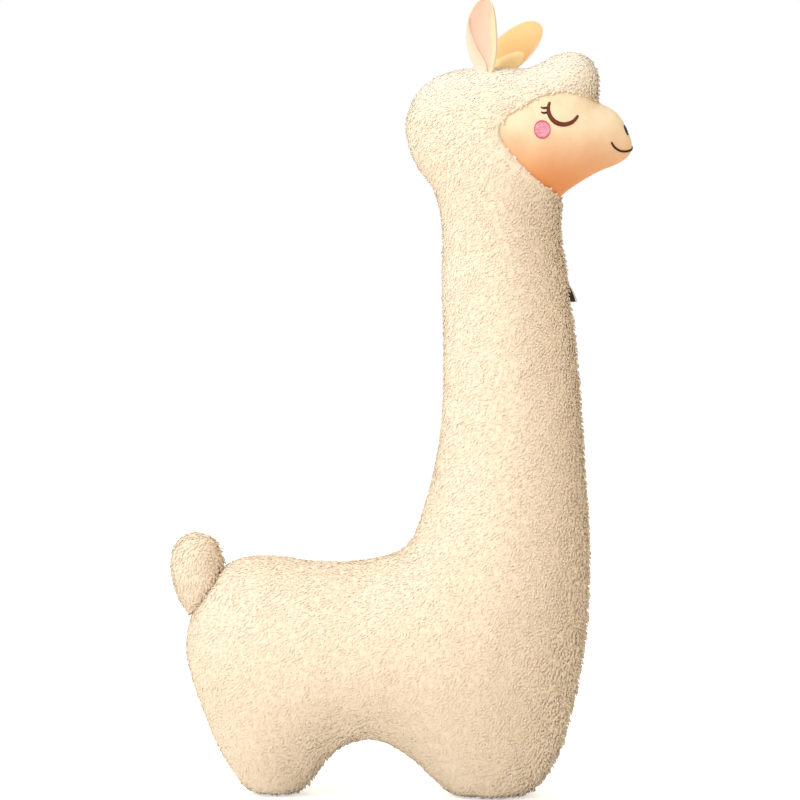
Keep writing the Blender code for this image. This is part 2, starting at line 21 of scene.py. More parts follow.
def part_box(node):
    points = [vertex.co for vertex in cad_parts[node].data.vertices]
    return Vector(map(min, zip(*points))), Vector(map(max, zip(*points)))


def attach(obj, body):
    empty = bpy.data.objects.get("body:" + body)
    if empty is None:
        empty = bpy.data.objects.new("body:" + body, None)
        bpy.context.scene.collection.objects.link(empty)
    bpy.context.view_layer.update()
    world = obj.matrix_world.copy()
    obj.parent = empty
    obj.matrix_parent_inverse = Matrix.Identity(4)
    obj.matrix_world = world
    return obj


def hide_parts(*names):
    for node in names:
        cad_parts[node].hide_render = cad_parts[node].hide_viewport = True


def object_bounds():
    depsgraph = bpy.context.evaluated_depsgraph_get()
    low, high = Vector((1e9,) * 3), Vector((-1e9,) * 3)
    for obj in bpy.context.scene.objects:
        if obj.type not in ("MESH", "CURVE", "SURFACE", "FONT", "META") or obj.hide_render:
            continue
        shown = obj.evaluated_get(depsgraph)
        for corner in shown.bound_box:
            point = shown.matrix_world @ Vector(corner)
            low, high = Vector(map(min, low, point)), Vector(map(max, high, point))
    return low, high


bl_info = {
    "name": "Plush alpaca dressing",
    "version": (1, 0, 0),
    "blender": (4, 5, 0),
    "location": "View3D > Sidebar > Plush",
    "description": "Lays fleece, velour, embroidery, ears and a label on a stuffed alpaca",
    "category": "Add Mesh",
}

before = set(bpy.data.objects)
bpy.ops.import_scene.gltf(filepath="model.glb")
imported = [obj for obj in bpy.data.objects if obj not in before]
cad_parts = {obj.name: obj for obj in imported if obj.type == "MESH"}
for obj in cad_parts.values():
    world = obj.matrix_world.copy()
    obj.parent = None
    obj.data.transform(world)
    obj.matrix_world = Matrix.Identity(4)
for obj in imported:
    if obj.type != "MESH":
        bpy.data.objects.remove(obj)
CAD_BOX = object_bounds()
BODY = "root"
SIDES = {"right": -1, "left": 1}


def shade(red, green, blue):
    """A display colour, from 0 to 255, as the linear values that materials take."""
    values = np.array([red, green, blue]) / 255
    linear = np.where(values <= 0.04045, values / 12.92, ((values + 0.055) / 1.055) ** 2.4)
    return tuple(float(value) for value in linear)


def size_setting(name, description, default):
    """A length that a user may change."""
    return FloatProperty(name=name, description=description, default=default, unit="LENGTH",
                         precision=4)


def colour_setting(name, description, default):
    """A colour that a user may change."""
    return FloatVectorProperty(name=name, description=description, default=default, size=3, min=0,
                               max=1, subtype="COLOR")


def angle_setting(name, description, default):
    """An angle that a user may change, written here in degrees."""
    return FloatProperty(name=name, description=description, default=math.radians(default),
                         subtype="ANGLE", unit="ROTATION")


# Settings

class FormSettings(PropertyGroup):
    """The stuffed body that everything is sewn round."""

    voxel: size_setting("Cloth grain", "Size of the faces that the body is blown up with", 0.0065)
    swell: size_setting("Swell", "Furthest that the stuffing pushes the cloth out", 0.0035)
    pressure: FloatProperty(name="Stuffing", description="Pressure of the stuffing", default=3.0, min=0)
    seam_hold: size_setting("Seam hold", "How near the middle seam the cloth is held fast", 0.007)
    lump: size_setting("Lumps", "Height of the soft lumps in the stuffing", 0.0010)
    lump_width: size_setting("Lump width", "Distance from one lump to the next", 0.085)


class FleeceSettings(PropertyGroup):
    """The curly fleece: a close layer of low curls, with nubs that stand out of it, their tips painted
    paler as highlights.
    """

    # Tips: painted highlight; each curl grows towards this colour from its root to its tip.
    tip_highlight_colour: colour_setting("Tips", "Colour of the palest tips", shade(255, 254, 249))
    root_colour: colour_setting("Pile", "Colour of the low curls", shade(253, 235, 212))
    ground_colour: colour_setting("Ground", "Colour of the knitted ground", shade(255, 243, 224))
    ground_lift: size_setting("Ground lift", "Height of the knitted ground above the form", 0.0048)
    ground_cloth: size_setting("Ground cloth", "Thickness of the knitted ground", 0.0014)
    edge_drop: size_setting("Edge drop", "How far the ground dips to meet the face's velour", 0.0028)
    edge_slope: size_setting("Edge slope", "Width of that dip beside the face", 0.0065)
    spacing: size_setting("Curl spacing", "Distance between neighbouring low curls", 0.0046)
    height: size_setting("Curl height", "How far the low curls stand up from the ground", 0.0008)
    length: size_setting("Curl length", "How far a low curl reaches along the ground", 0.0058)
    thickness: size_setting("Curl thickness", "Width of a low curl", 0.0033)
    nub_spacing: size_setting("Nub spacing", "Distance between neighbouring nubs", 0.0058)
    nub_height: size_setting("Nub height", "How far the nubs stand up from the ground", 0.0018)
    nub_length: size_setting("Nub length", "How far a nub reaches along the ground", 0.0040)
    nub_thickness: size_setting("Nub thickness", "Width of a nub", 0.0022)
    tuft: FloatProperty(name="Tufts", description="How much taller curls are in front and below",
                        default=1.7, min=0)
    # The crown's paler curls are painted highlight, for the light falling on the top of the head; the
    # curls there also lie flatter.
    crown_highlight: FloatProperty(name="Crown", description="How much paler the curls on the crown are",
                              default=0.9, min=0, max=1)
    bend: size_setting("Curl bend", "How far each curl bows to one side", 0.0013)
    wander: angle_setting("Wander", "How far curls stray from the combed direction", 22)
    seed: IntProperty(name="Seed", description="Changes the order of the curls", default=11)


class FaceSettings(PropertyGroup):
    """The smooth velour face."""

    # The brow and jaw colours are the ends of a ramp that paints light on the brow and shade along the
    # jaw, over the velour's own peach.
    lit_brow_colour: colour_setting("Brow", "Velour on the brow", shade(255, 242, 212))
    shaded_jaw_colour: colour_setting("Jaw", "Velour along the jaw", shade(236, 154, 92))
    cloth: size_setting("Velour", "Thickness of the velour", 0.0015)
    seam_depth: size_setting("Seam depth", "How far the middle seam is drawn in", 0.0016)
    seam_width: size_setting("Seam width", "Half the width of the dip along a seam", 0.0032)
    tuck: size_setting("Tuck", "How far the velour runs in under the fleece", 0.006)
    pucker: size_setting("Pucker", "Height of the small gathers along the fleece's edge", 0.0006)
    pucker_width: size_setting("Pucker width", "Distance from one gather to the next", 0.0095)


class StitchSettings(PropertyGroup):
    """The embroidery on the face."""

    pitch: size_setting("Stitch pitch", "Distance between satin stitches", 0.00050)
    crown: size_setting("Crown", "Height of the satin bands", 0.0010)
    rim: size_setting("Rim", "Thickness of the corded outlines", 0.00115)
    eye_radius: size_setting("Eye radius", "Radius of the closed lid's arc", 0.0190)
    eye_width: size_setting("Lid width", "Width of the lid at its lowest point", 0.0044)
    eye_end: size_setting("Lid end", "Width of the lid at its ends", 0.0016)
    mouth_radius: size_setting("Mouth radius", "Radius of the smile's arc", 0.0175)
    mouth_width: size_setting("Mouth width", "Width of the smile's line", 0.0026)
    lid_colour: colour_setting("Lid", "Satin thread of the lid", shade(132, 60, 32))
    lid_rim_colour: colour_setting("Lid rim", "Thread of its rim and the lashes", shade(58, 20, 10))
    blush_colour: colour_setting("Blush", "Satin thread of the cheek", shade(228, 140, 164))
    blush_rim_colour: colour_setting("Blush rim", "Thread round the cheek", shade(214, 100, 120))
    black_colour: colour_setting("Smile", "Thread of the mouth and nostrils", shade(10, 5, 5))


class EarSettings(PropertyGroup):
    """The two ears."""

    outer_colour: colour_setting("Outside", "Cloth on the back of the ears", shade(248, 213, 156))
    lining_colour: colour_setting("Lining", "Cloth inside the ears", shade(250, 213, 195))
    # The hem's pale cloth also colours the right ear's back crease, where the folded lining is painted
    # pale as lit.
    hem_and_lit_fold_colour: colour_setting("Hem", "Paler cloth of the rolled edge", shade(246, 237, 222))
    # A paler copy of the outside cloth: painted light on the right ear's turned edge.
    lit_pleat_colour: colour_setting("Pleat", "Cloth of the right ear's turned edge", shade(244, 224, 188))
    # A paler copy of the outside cloth: painted light on the left ear's puff, which faces down.
    lit_puff_colour: colour_setting("Puff", "Cloth of the left ear's puff", shade(255, 238, 192))
    seat: FloatVectorProperty(name="Seat", description="Where the left ear is sewn in", size=3,
                              default=(0.1055, 0.025, 0.907), subtype="TRANSLATION", unit="LENGTH")
    length: size_setting("Length", "Length of an ear above its seat", 0.0905)
    width: size_setting("Width", "Greatest width of an ear", 0.0390)
    root: size_setting("Root", "Length sewn in below the fleece", 0.020)
    cloth: size_setting("Cloth", "Thickness of each layer", 0.0012)
    hem: size_setting("Hem", "Width of the rolled edge", 0.0030)
    cup: size_setting("Cup", "Depth of the ear's hollow", 0.0070)
    lean_right: angle_setting("Right lean", "Forward lean of the right ear", 0)
    lean_left: angle_setting("Left lean", "Forward lean of the left ear", 48.5)


class LabelSettings(PropertyGroup):
    """The bare tape label in the neck's front seam."""

    colour: colour_setting("Tape", "Woven edge and fold of the tape", shade(246, 244, 240))
    # The tape is white; its dark face is painted shadow inside the folded tape.
    painted_shadow_colour: colour_setting("Tape face", "Satin face of the tape", shade(34, 14, 6))
    edge: size_setting("Edge", "Width of the pale woven edge along the fold", 0.0022)
    reach: size_setting("Reach", "How far the folded tape stands out of the seam", 0.0125)
    cloth: size_setting("Cloth", "Thickness of the tape", 0.0003)
    gap: size_setting("Gap", "Opening between the tape's two layers", 0.0006)


class StageSettings(PropertyGroup):
    """The camera, the lamps and the floor."""

    azimuth: angle_setting("Azimuth", "How far the camera stands towards the front", 2.5)
    distance: size_setting("Distance", "From the camera to the middle of the body", 4.5)
    eye_height: size_setting("Camera height", "Height of the camera above the floor", 0.84)
    view_height: size_setting("View height", "Height of what the picture takes in", 0.9985)
    aim_x: size_setting("Aim along", "Point that the camera looks at, along the body", 0.0)
    aim_z: size_setting("Aim up", "Point that the camera looks at, above the floor", 0.4988)
    key_power: FloatProperty(name="Key", description="Power of the main lamp, in watts", default=203)
    fill_power: FloatProperty(name="Fill", description="Power of the second lamp, in watts", default=3)
    back_power: FloatProperty(name="Back", description="Power of the lamp behind, in watts", default=34)
    key_colour: colour_setting("Key colour", "Colour of the main lamp", (0.87, 0.945, 0.985))
    fill_colour: colour_setting("Fill colour", "Colour of the second lamp", (1.0, 0.78, 0.55))
    back_colour: colour_setting("Back colour", "Colour of the lamp behind", (1.0, 0.93, 0.84))
    room_colour: colour_setting("Room", "Light that comes from all round", (1.0, 0.81, 0.60))
    room_strength: FloatProperty(name="Room light", description="Strength of the light all round",
                                 default=0.70)
    floor_colour: colour_setting("Floor", "Colour of the floor", shade(244, 243, 241))
    floor_glow: FloatProperty(name="Floor lift", description="Added to the floor for the camera",
                              default=0.55)


GROUPS = {
    "plush_form": FormSettings,
    "plush_fleece": FleeceSettings,
    "plush_face": FaceSettings,
    "plush_stitch": StitchSettings,
    "plush_ears": EarSettings,
    "plush_label": LabelSettings,
    "plush_stage": StageSettings,
}


# Meshes and arrays

def mesh_points(mesh):
    """A mesh's points as an array."""
    points = np.zeros(len(mesh.vertices) * 3, np.float32)
    mesh.vertices.foreach_get("co", points)
    return points.reshape(-1, 3).astype(float)


def mesh_normals(mesh):
    """A mesh's point normals as an array."""
    normals = np.zeros(len(mesh.vertices) * 3, np.float32)
    mesh.vertex_normals.foreach_get("vector", normals)
    return normals.reshape(-1, 3).astype(float)


def mesh_triangles(mesh):
    """A mesh's faces, split into triangles."""
    mesh.calc_loop_triangles()
    corners = np.zeros(len(mesh.loop_triangles) * 3, np.int32)
    mesh.loop_triangles.foreach_get("vertices", corners)
    return corners.reshape(-1, 3)


def grid_triangles(rows, columns):
    """The triangles of a net of points, row by row."""
    index = np.arange(rows * columns).reshape(rows, columns)
    a, b, c, d = index[:-1, :-1], index[:-1, 1:], index[1:, 1:], index[1:, :-1]
    return np.vstack([np.stack(corners, -1).reshape(-1, 3) for corners in ((a, b, c), (a, c, d))])


def triangle_mesh(name, points, triangles):
    """A smooth mesh from arrays of points and triangles."""
    mesh = bpy.data.meshes.new(name)
    mesh.vertices.add(len(points))
    mesh.vertices.foreach_set("co", np.asarray(points, np.float32).ravel())
    mesh.loops.add(len(triangles) * 3)
    mesh.loops.foreach_set("vertex_index", np.asarray(triangles, np.int32).ravel())
    mesh.polygons.add(len(triangles))
    mesh.polygons.foreach_set("loop_start", np.arange(0, len(triangles) * 3, 3, dtype=np.int32))
    mesh.update(calc_edges=True)
    mesh.shade_smooth()
    return mesh


def move_points(mesh, points):
    """Put a mesh's points at new places."""
    mesh.vertices.foreach_set("co", points.astype(np.float32).ravel())
    mesh.update()


def add_piece(name, mesh, material, nodes=()):
    """Show a mesh as a piece of the plush that stands for the named solids."""
    piece = bpy.data.objects.new(name, mesh)
    bpy.context.scene.collection.objects.link(piece)
    mesh.materials.clear()
    mesh.materials.append(material)
    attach(piece, BODY)
    if nodes:
        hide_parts(*nodes)
    return piece


def shown_mesh(piece):
    """The mesh of an object with its modifiers, in place."""
    bpy.context.view_layer.update()
    evaluated = piece.evaluated_get(bpy.context.evaluated_depsgraph_get())
    return bpy.data.meshes.new_from_object(evaluated)


def thicken(piece, thickness, offset=0):
    """Give a sheet its thickness, and replace its mesh by what all its modifiers make of it."""
    cloth = piece.modifiers.new("cloth", "SOLIDIFY")
    cloth.thickness = thickness
    cloth.offset = offset
    mesh = shown_mesh(piece)
    piece.modifiers.clear()
    piece.data = mesh


def side_middle(node):
    """The middle of a solid's box in the side view, as a point at y = 0."""
    low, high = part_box(node)
    return np.array([(low.x + high.x) / 2, 0, (low.z + high.z) / 2])


# Each use of ripples has a pattern of its own.
PATTERNS = {"clumps": 5, "lumps": 3, "drift": 21, "stray": 22, "gathers": 31}
WAVES = 7


def ripples(points, width, pattern):
    """A soft random height at each point, about -1 to 1, with bumps a given width apart."""
    chance = np.random.default_rng(PATTERNS[pattern])
    heading = chance.normal(size=(WAVES, 3))
    heading /= np.linalg.norm(heading, axis=1, keepdims=True)
    pace = 2 * math.pi / width * chance.uniform(0.6, 1.3, WAVES)
    start = chance.uniform(0, 2 * math.pi, WAVES)
    return np.sin(points @ heading.T * pace + start).mean(axis=1) * 2


def unit(vectors):
    """Vectors of length one."""
    return vectors / np.maximum(np.linalg.norm(vectors, axis=-1, keepdims=True), 1e-12)


def fade(distance, width):
    """1 where the distance is 0, fading to nothing beyond about twice the width."""
    return np.exp(-(distance / width) ** 2)


def smooth_step(values, low, high):
    """0 below low, 1 above high, and an even slope between."""
    share = np.clip((values - low) / (high - low), 0, 1)
    return share * share * (3 - 2 * share)


# The stuffed form

PATCH_STEPS = 4
SKIN_ROUNDS = 4
TAIL_VOXEL = 0.004
TAIL_ROUNDS = 8
FIBRE_DEPTH = 0.003
FIBRE_GRAIN = 0.011
FIBRE_STEPS = 2
FIBRE_ROUNDS = 2
CLOTH_FRAMES = 16
CLOTH = {"quality": 5, "mass": 0.25, "tension_stiffness": 18, "compression_stiffness": 18,
         "shear_stiffness": 6, "bending_stiffness": 0.6, "use_pressure": True}
EDGE_SLOPE = 0.005
EDGE_DIP = 0.0010
GATHER_START = 0.002
GATHER_REACH = 0.008
SEAM_STEP = 0.0012
SEAM_WINDOW = 9
SEAM_MARGIN = 0.05
SEAM_TOUCH = 0.0012
SEAM_GAP = 0.00015
SEAM_REACH = 0.008
CHUNK = 4000


def corner_normals(points, triangles):
    """The direction of a faceted skin at each corner, as wide facets there count for more."""
    corner = points[triangles]
    facing = unit(np.cross(corner[:, 1] - corner[:, 0], corner[:, 2] - corner[:, 0]))
    normals = np.zeros_like(points)
    for here in range(3):
        ahead = unit(corner[:, (here + 1) % 3] - corner[:, here])
        behind = unit(corner[:, (here + 2) % 3] - corner[:, here])
        spread = np.arccos(np.clip((ahead * behind).sum(axis=1), -1, 1))
        np.add.at(normals, triangles[:, here], facing * spread[:, None])
    return unit(normals)[triangles]


def patch_net(steps):
    """A triangle cut into small ones: each place's shares of two corners, and the small triangles."""
    places = [(a, b) for a in range(steps + 1) for b in range(steps + 1 - a)]
    number = {place: index for index, place in enumerate(places)}
    small = [(number[a, b], number[a + 1, b], number[a, b + 1])
             for a in range(steps) for b in range(steps - a)]
    small += [(number[a + 1, b], number[a + 1, b + 1], number[a, b + 1])
              for a in range(steps) for b in range(steps - a - 1)]
    return [(a / steps, b / steps) for a, b in places], np.array(small)


def curved_skin(node, steps):
    """A solid's faceted skin as curved patches through its corners, each cut into small triangles."""
    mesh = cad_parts[node].data
    points, index = np.unique(mesh_points(mesh).round(6), axis=0, return_inverse=True)
    triangles = index.reshape(-1)[mesh_triangles(mesh)]
    corner, normal = points[triangles], corner_normals(points, triangles)

    def handle(near, far):
        lean = ((corner[:, far] - corner[:, near]) * normal[:, near]).sum(axis=1, keepdims=True)
        return (2 * corner[:, near] + corner[:, far] - lean * normal[:, near]) / 3

    pairs = ((0, 1), (1, 0), (1, 2), (2, 1), (2, 0), (0, 2))
    handles = {pair: handle(*pair) for pair in pairs}
    rim = sum(handles.values()) / 6
    middle = rim + (rim - corner.mean(axis=1)) / 2
    places, small = patch_net(steps)
    patch = []
    for u, v in places:
        share = (u, v, 1 - u - v)
        spot = 6 * share[0] * share[1] * share[2] * middle
        for here in range(3):
            spot = spot + share[here] ** 3 * corner[:, here]
        for near, far in pairs:
            spot = spot + 3 * share[near] ** 2 * share[far] * handles[near, far]
        patch.append(spot)
    patch = np.stack(patch, axis=1)
    starts = np.arange(len(triangles))[:, None, None] * len(places)
    merged, index = np.unique(patch.reshape(-1, 3).round(6), axis=0, return_inverse=True)
    dense = index.reshape(-1)[(small[None] + starts).reshape(-1, 3)]
    whole = np.all(dense != np.roll(dense, 1, axis=1), axis=1)
    return triangle_mesh(f"{node}_skin", merged, dense[whole])


def even_skin(mesh, voxel, rounds):
    """The same form as a net of even square faces, smoothed."""
    form = bpy.data.objects.new("form", mesh)
    bpy.context.scene.collection.objects.link(form)
    remesh = form.modifiers.new("even", "REMESH")
    remesh.mode = "VOXEL"
    remesh.voxel_size = voxel
    remesh.use_smooth_shade = True
    smooth = form.modifiers.new("smooth", "SMOOTH")
    smooth.factor = 0.5
    smooth.iterations = rounds
    even = shown_mesh(form)
    bpy.data.objects.remove(form)
    return even


def blow_up(mesh, settings):
    """Push the cloth out with the stuffing's pressure, while its seams and soles hold fast."""
    points = mesh_points(mesh)
    sole = points[:, 2].min()
    form = bpy.data.objects.new("stuffed", mesh)
    bpy.context.scene.collection.objects.link(form)
    held = form.vertex_groups.new(name="held")
    seam = 1 - smooth_step(np.abs(points[:, 1]), settings.seam_hold * 0.5, settings.seam_hold)
    floor = 1 - smooth_step(points[:, 2] - sole, 0.001, 0.006)
    for vertex, weight in enumerate(np.maximum(seam, floor)):
        if weight > 0.01:
            held.add([vertex], float(weight), "REPLACE")
    cloth = form.modifiers.new("cloth", "CLOTH")
    for name, value in CLOTH.items():
        setattr(cloth.settings, name, value)
    cloth.settings.uniform_pressure_force = settings.pressure
    cloth.settings.vertex_group_mass = "held"
    cloth.settings.effector_weights.gravity = 0
    cloth.collision_settings.use_collision = False
    cloth.point_cache.frame_start = 1
    cloth.point_cache.frame_end = CLOTH_FRAMES
    for number in range(1, CLOTH_FRAMES + 1):
        bpy.context.scene.frame_set(number)
    blown = shown_mesh(form)
    bpy.context.scene.frame_set(1)
    push = mesh_points(blown) - points
    far = np.linalg.norm(push, axis=1, keepdims=True)
    push *= settings.swell * np.tanh(far / settings.swell) / np.maximum(far, 1e-9)
    bpy.data.objects.remove(form)
    move_points(mesh, points + push)


@lru_cache(maxsize=None)
def body_form():
    """The stuffed body as one even mesh: smooth patches, blown up and gently lumpy."""
    settings = bpy.context.scene.plush_form
    mesh = even_skin(curved_skin("body_filling", PATCH_STEPS), settings.voxel, SKIN_ROUNDS)
    blow_up(mesh, settings)
    points = mesh_points(mesh)
    normals = mesh_normals(mesh)
    inward = smooth_step(np.abs(points[:, 1]), settings.seam_hold, settings.seam_hold * 5)
    raised = smooth_step(points[:, 2], 0.02, 0.05)
    lumps = ripples(points, settings.lump_width, "lumps") * settings.lump * inward * raised
    move_points(mesh, points + normals * lumps[:, None])
    mesh.shade_smooth()
    return mesh


@lru_cache(maxsize=None)
def tail_form():
    """The stuffed tail as one even mesh."""
    return even_skin(curved_skin("tail_filling", PATCH_STEPS), TAIL_VOXEL, TAIL_ROUNDS)


@lru_cache(maxsize=None)
def face_seam():
    """The line, seen from the side, where the face meets the fleece, from the throat to the brow."""
    fleece = mesh_points(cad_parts["fleece_panel_right"].data)
    tree = KDTree(len(fleece))
    for number, point in enumerate(fleece):
        tree.insert(point, number)
    tree.balance()
    face = mesh_points(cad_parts["face_panel_right"].data)
    rim = np.array([point for point in face if tree.find(point)[2] < SEAM_TOUCH])[:, [0, 2]]
    rim = np.unique(rim.round(5), axis=0)
    centre = side_middle("face_panel_right")[[0, 2]]
    turn = np.radians(-60) - np.arctan2(rim[:, 1] - centre[1], rim[:, 0] - centre[0])
    rim = rim[np.argsort(turn % (2 * math.pi))]
    travelled = np.concatenate([[0], np.cumsum(np.linalg.norm(np.diff(rim, axis=0), axis=1))])
    stations = np.arange(0, travelled[-1], SEAM_STEP)
    line = np.column_stack([np.interp(stations, travelled, rim[:, axis]) for axis in (0, 1)])
    window = np.ones(SEAM_WINDOW) / SEAM_WINDOW
    padded = np.pad(line, ((SEAM_WINDOW // 2, SEAM_WINDOW // 2), (0, 0)), mode="edge")
    return np.column_stack([np.convolve(padded[:, axis], window, "valid") for axis in (0, 1)])


def inside_face(points):
    """How far each point, seen from the side, lies inside the face's seam; below 0 is fleece."""
    line = face_seam()
    flat = points[:, [0, 2]]
    far = CAD_BOX[1].x + 2 * SEAM_MARGIN
    above, below = line[-1, 1] + 2 * SEAM_MARGIN, line[0, 1] - SEAM_MARGIN
    loop = np.vstack([line, [(far, above), (far, below)]])
    ahead = np.roll(loop, -1, axis=0)
    close = np.flatnonzero(np.all(flat > line.min(axis=0) - SEAM_MARGIN, axis=1))
    depth = np.full(len(flat), -1.0)
    for chunk in np.array_split(close, max(1, len(close) // CHUNK)):
        x, z = flat[chunk, 0, None], flat[chunk, 1, None]
        straddles = (loop[:, 1] > z) != (ahead[:, 1] > z)
        rise = np.where(ahead[:, 1] == loop[:, 1], 1, ahead[:, 1] - loop[:, 1])
        crossing = loop[:, 0] + (z - loop[:, 1]) / rise * (ahead[:, 0] - loop[:, 0])
        within = np.sum(straddles & (x < crossing), axis=1) % 2 == 1
        gap = np.sqrt(((flat[chunk, None] - line) ** 2).sum(axis=2)).min(axis=1)
        depth[chunk] = np.where(within, gap, -gap)
    return depth


def follow_seam(form):
    """Draw the cut edge of a panel onto the face's seam, seen from the side."""
    line = face_seam()
    for vertex in form.verts:
        if vertex.is_boundary:
            gap = line - (vertex.co.x, vertex.co.z)
            nearest = gap[(gap ** 2).sum(axis=1).argmin()]
            if np.hypot(*nearest) < SEAM_REACH:
                vertex.co.x += float(nearest[0])
                vertex.co.z += float(nearest[1])


def cloth_panel(name, side, lift, keep, material, nodes, cloth, fine=0, hemmed=False):
    """Half of a cover: the form's faces that it keeps, cut at the middle seam and made a sheet."""
    mesh = body_form().copy()
    points = mesh_points(mesh) + mesh_normals(mesh) * lift[:, None]
    points[:, 2] = np.maximum(points[:, 2], CAD_BOX[0].z + cloth)
    move_points(mesh, points)
    form = bmesh.new()
    form.from_mesh(mesh)
    centres = np.array([face.calc_center_median() for face in form.faces])
    dropped = [face for face, kept in zip(form.faces, keep(centres)) if not kept]
    bmesh.ops.delete(form, geom=dropped, context="FACES")
    if hemmed:
        follow_seam(form)
    everything = form.verts[:] + form.edges[:] + form.faces[:]
    bmesh.ops.bisect_plane(form, geom=everything, plane_co=(0, side * SEAM_GAP, 0),
                           plane_no=(0, side, 0), clear_inner=True)
    form.to_mesh(mesh)
    form.free()
    mesh.shade_smooth()
    panel = add_piece(name, mesh, material, nodes)
    if fine:
        finer = panel.modifiers.new("finer", "SUBSURF")
        finer.levels = fine
        finer.render_levels = fine
    thicken(panel, cloth, -1)
    return panel


# Fleece

# A curl's stations along its length, its widths there, how pale its tip is painted as a highlight, how
# far it is shaded as the cloth under it, how round it is and how much more painted highlight it gets
# where the pile stands up.
LOW_CURL = {"along": (0.0, 0.55, 1.0), "widths": (0.90, 1.0), "paleness": 0.19, "softness": 0.90,
            "roundness": 0.35, "glint": 0.2}
NUB = {"along": (0.0, 0.40, 0.76, 1.0), "widths": (0.80, 1.0, 0.80), "paleness": 0.54,
       "softness": 0.65, "roundness": 0.65, "glint": 1.0}
CURL_SIDES = 3
SOLE_SOFT = 0.0018
SOLE_LOW = 0.0004
# The front and underside: there the curls stand taller and the nubs' tips get more painted highlight.
TUFTED_SIDE = np.array((0.9, 0.0, -0.35))
# Heights over which the crown's painted highlight and flattening grow.
CROWN_RISE = (0.85, 0.92)
CROWN_FLAT = 0.45
CLUMP_WIDTH = 0.012
HEIGHT_CLUMP, HEIGHT_CHANCE = 0.22, 0.12
LENGTH_CLUMP, LENGTH_CHANCE = 0.15, 0.20
WIDTH_RANGE = (0.75, 1.2)
DRIFT_WIDTH = 0.030
STRAY_WIDTH = 0.009
STRAY_SHARE = 0.8
CHANCE_SHARE = 0.45
BODY_STROKE = (-0.80, 0.0, -0.52)
TAIL_STROKE = (-0.35, 0.0, -0.9)
TAIL_SPREAD = 0.4
SEAM_PART, SEAM_PULL = 0.008, 0.6
FACE_PART, FACE_PULL = 0.006, 1.05
CURL_SINK = 0.0004
GROOVE_WIDTH = 0.004
GROOVE_DEPTH = 0.0012
NECK_FOOT = 0.30
NECK_PLACE = 0.26
LABEL_ROOM = (0.012, 0.006, 0.001)
TAIL_LIFT = 0.8


def scatter(points, triangles, spacing, chance):
    """Evenly spread places on a surface: where each is, its triangle, and its shares of the corners."""
    corner = points[triangles]
    crossed = np.cross(corner[:, 1] - corner[:, 0], corner[:, 2] - corner[:, 0])
    areas = np.linalg.norm(crossed, axis=1) / 2
    tries = int(areas.sum() / spacing ** 2 * 4)
    chosen = np.searchsorted(np.cumsum(areas) / areas.sum(), chance.random(tries))
    chosen = np.minimum(chosen, len(triangles) - 1)
    across, along = np.sqrt(chance.random(tries)), chance.random(tries)
    shares = np.column_stack([1 - across, across * (1 - along), across * along])
    places = (corner[chosen] * shares[:, :, None]).sum(axis=1)
    cells = np.floor(places / spacing).astype(np.int64)
    cells -= cells.min(axis=0)
    spans = cells.max(axis=0) + 1
    key = (cells[:, 0] * spans[1] + cells[:, 1]) * spans[2] + cells[:, 2]
    _, first = np.unique(key, return_index=True)
    return places[first], chosen[first], shares[first]


def curl_points(kind, curls):
    """Each curl's rings of points, from its root to its tip."""
    normal, combed = curls["normal"][:, None], curls["combed"][:, None]
    across = np.cross(curls["combed"], curls["normal"])[:, None]
    height, length, bend = (curls[key][:, None, None] for key in ("height", "length", "bend"))
    share = np.array(kind["along"])[None, :, None]
    rise = normal * (height * (1 - (1 - share) ** 2.2))
    run = combed * (length * share ** 1.4)
    bow = across * (bend * np.sin(share * math.pi))
    line = curls["root"][:, None] + rise + run + bow
    heading = unit(np.gradient(line, axis=1))
    sideways = unit(np.cross(heading, normal))
    upward = np.cross(heading, sideways)
    rings = []
    for station, width in enumerate(kind["widths"]):
        for corner in range(CURL_SIDES):
            turn = 2 * math.pi * (corner / CURL_SIDES + 0.25)
            out = sideways[:, station] * math.cos(turn)
            out = out + upward[:, station] * math.sin(turn) * kind["roundness"]
            rings.append(line[:, station] + out * (curls["thickness"][:, None] * width / 2))
    rings.append(line[:, -1])
    return np.stack(rings, axis=1)


def press_down(points):
    """Flatten what would reach the floor, so that the soles stand on it softly."""
    floor = CAD_BOX[0].z + SOLE_LOW
    low = floor + SOLE_SOFT
    pressed = floor + SOLE_SOFT * np.exp(np.minimum(points[..., 2] - low, 0) / SOLE_SOFT)
    points[..., 2] = np.where(points[..., 2] < low, pressed, points[..., 2])


def curl_faces(rings):
    """The triangles of one curl: its root's end, its sides and its tip."""
    faces = [(0, 2, 1)]
    for ring in range(rings - 1):
        for corner in range(CURL_SIDES):
            a, b = ring * CURL_SIDES + corner, ring * CURL_SIDES + (corner + 1) % CURL_SIDES
            faces += [(a, b, b + CURL_SIDES), (a, b + CURL_SIDES, a + CURL_SIDES)]
    last = (rings - 1) * CURL_SIDES
    return faces + [(last + corner, last + (corner + 1) % CURL_SIDES, last + CURL_SIDES)
                    for corner in range(CURL_SIDES)]


def write_values(mesh, name, values):
    """Give each point of a mesh a value that its material reads."""
    made = mesh.attributes.new(name, "FLOAT", "POINT")
    made.data.foreach_set("value", np.ravel(values).astype(np.float32))


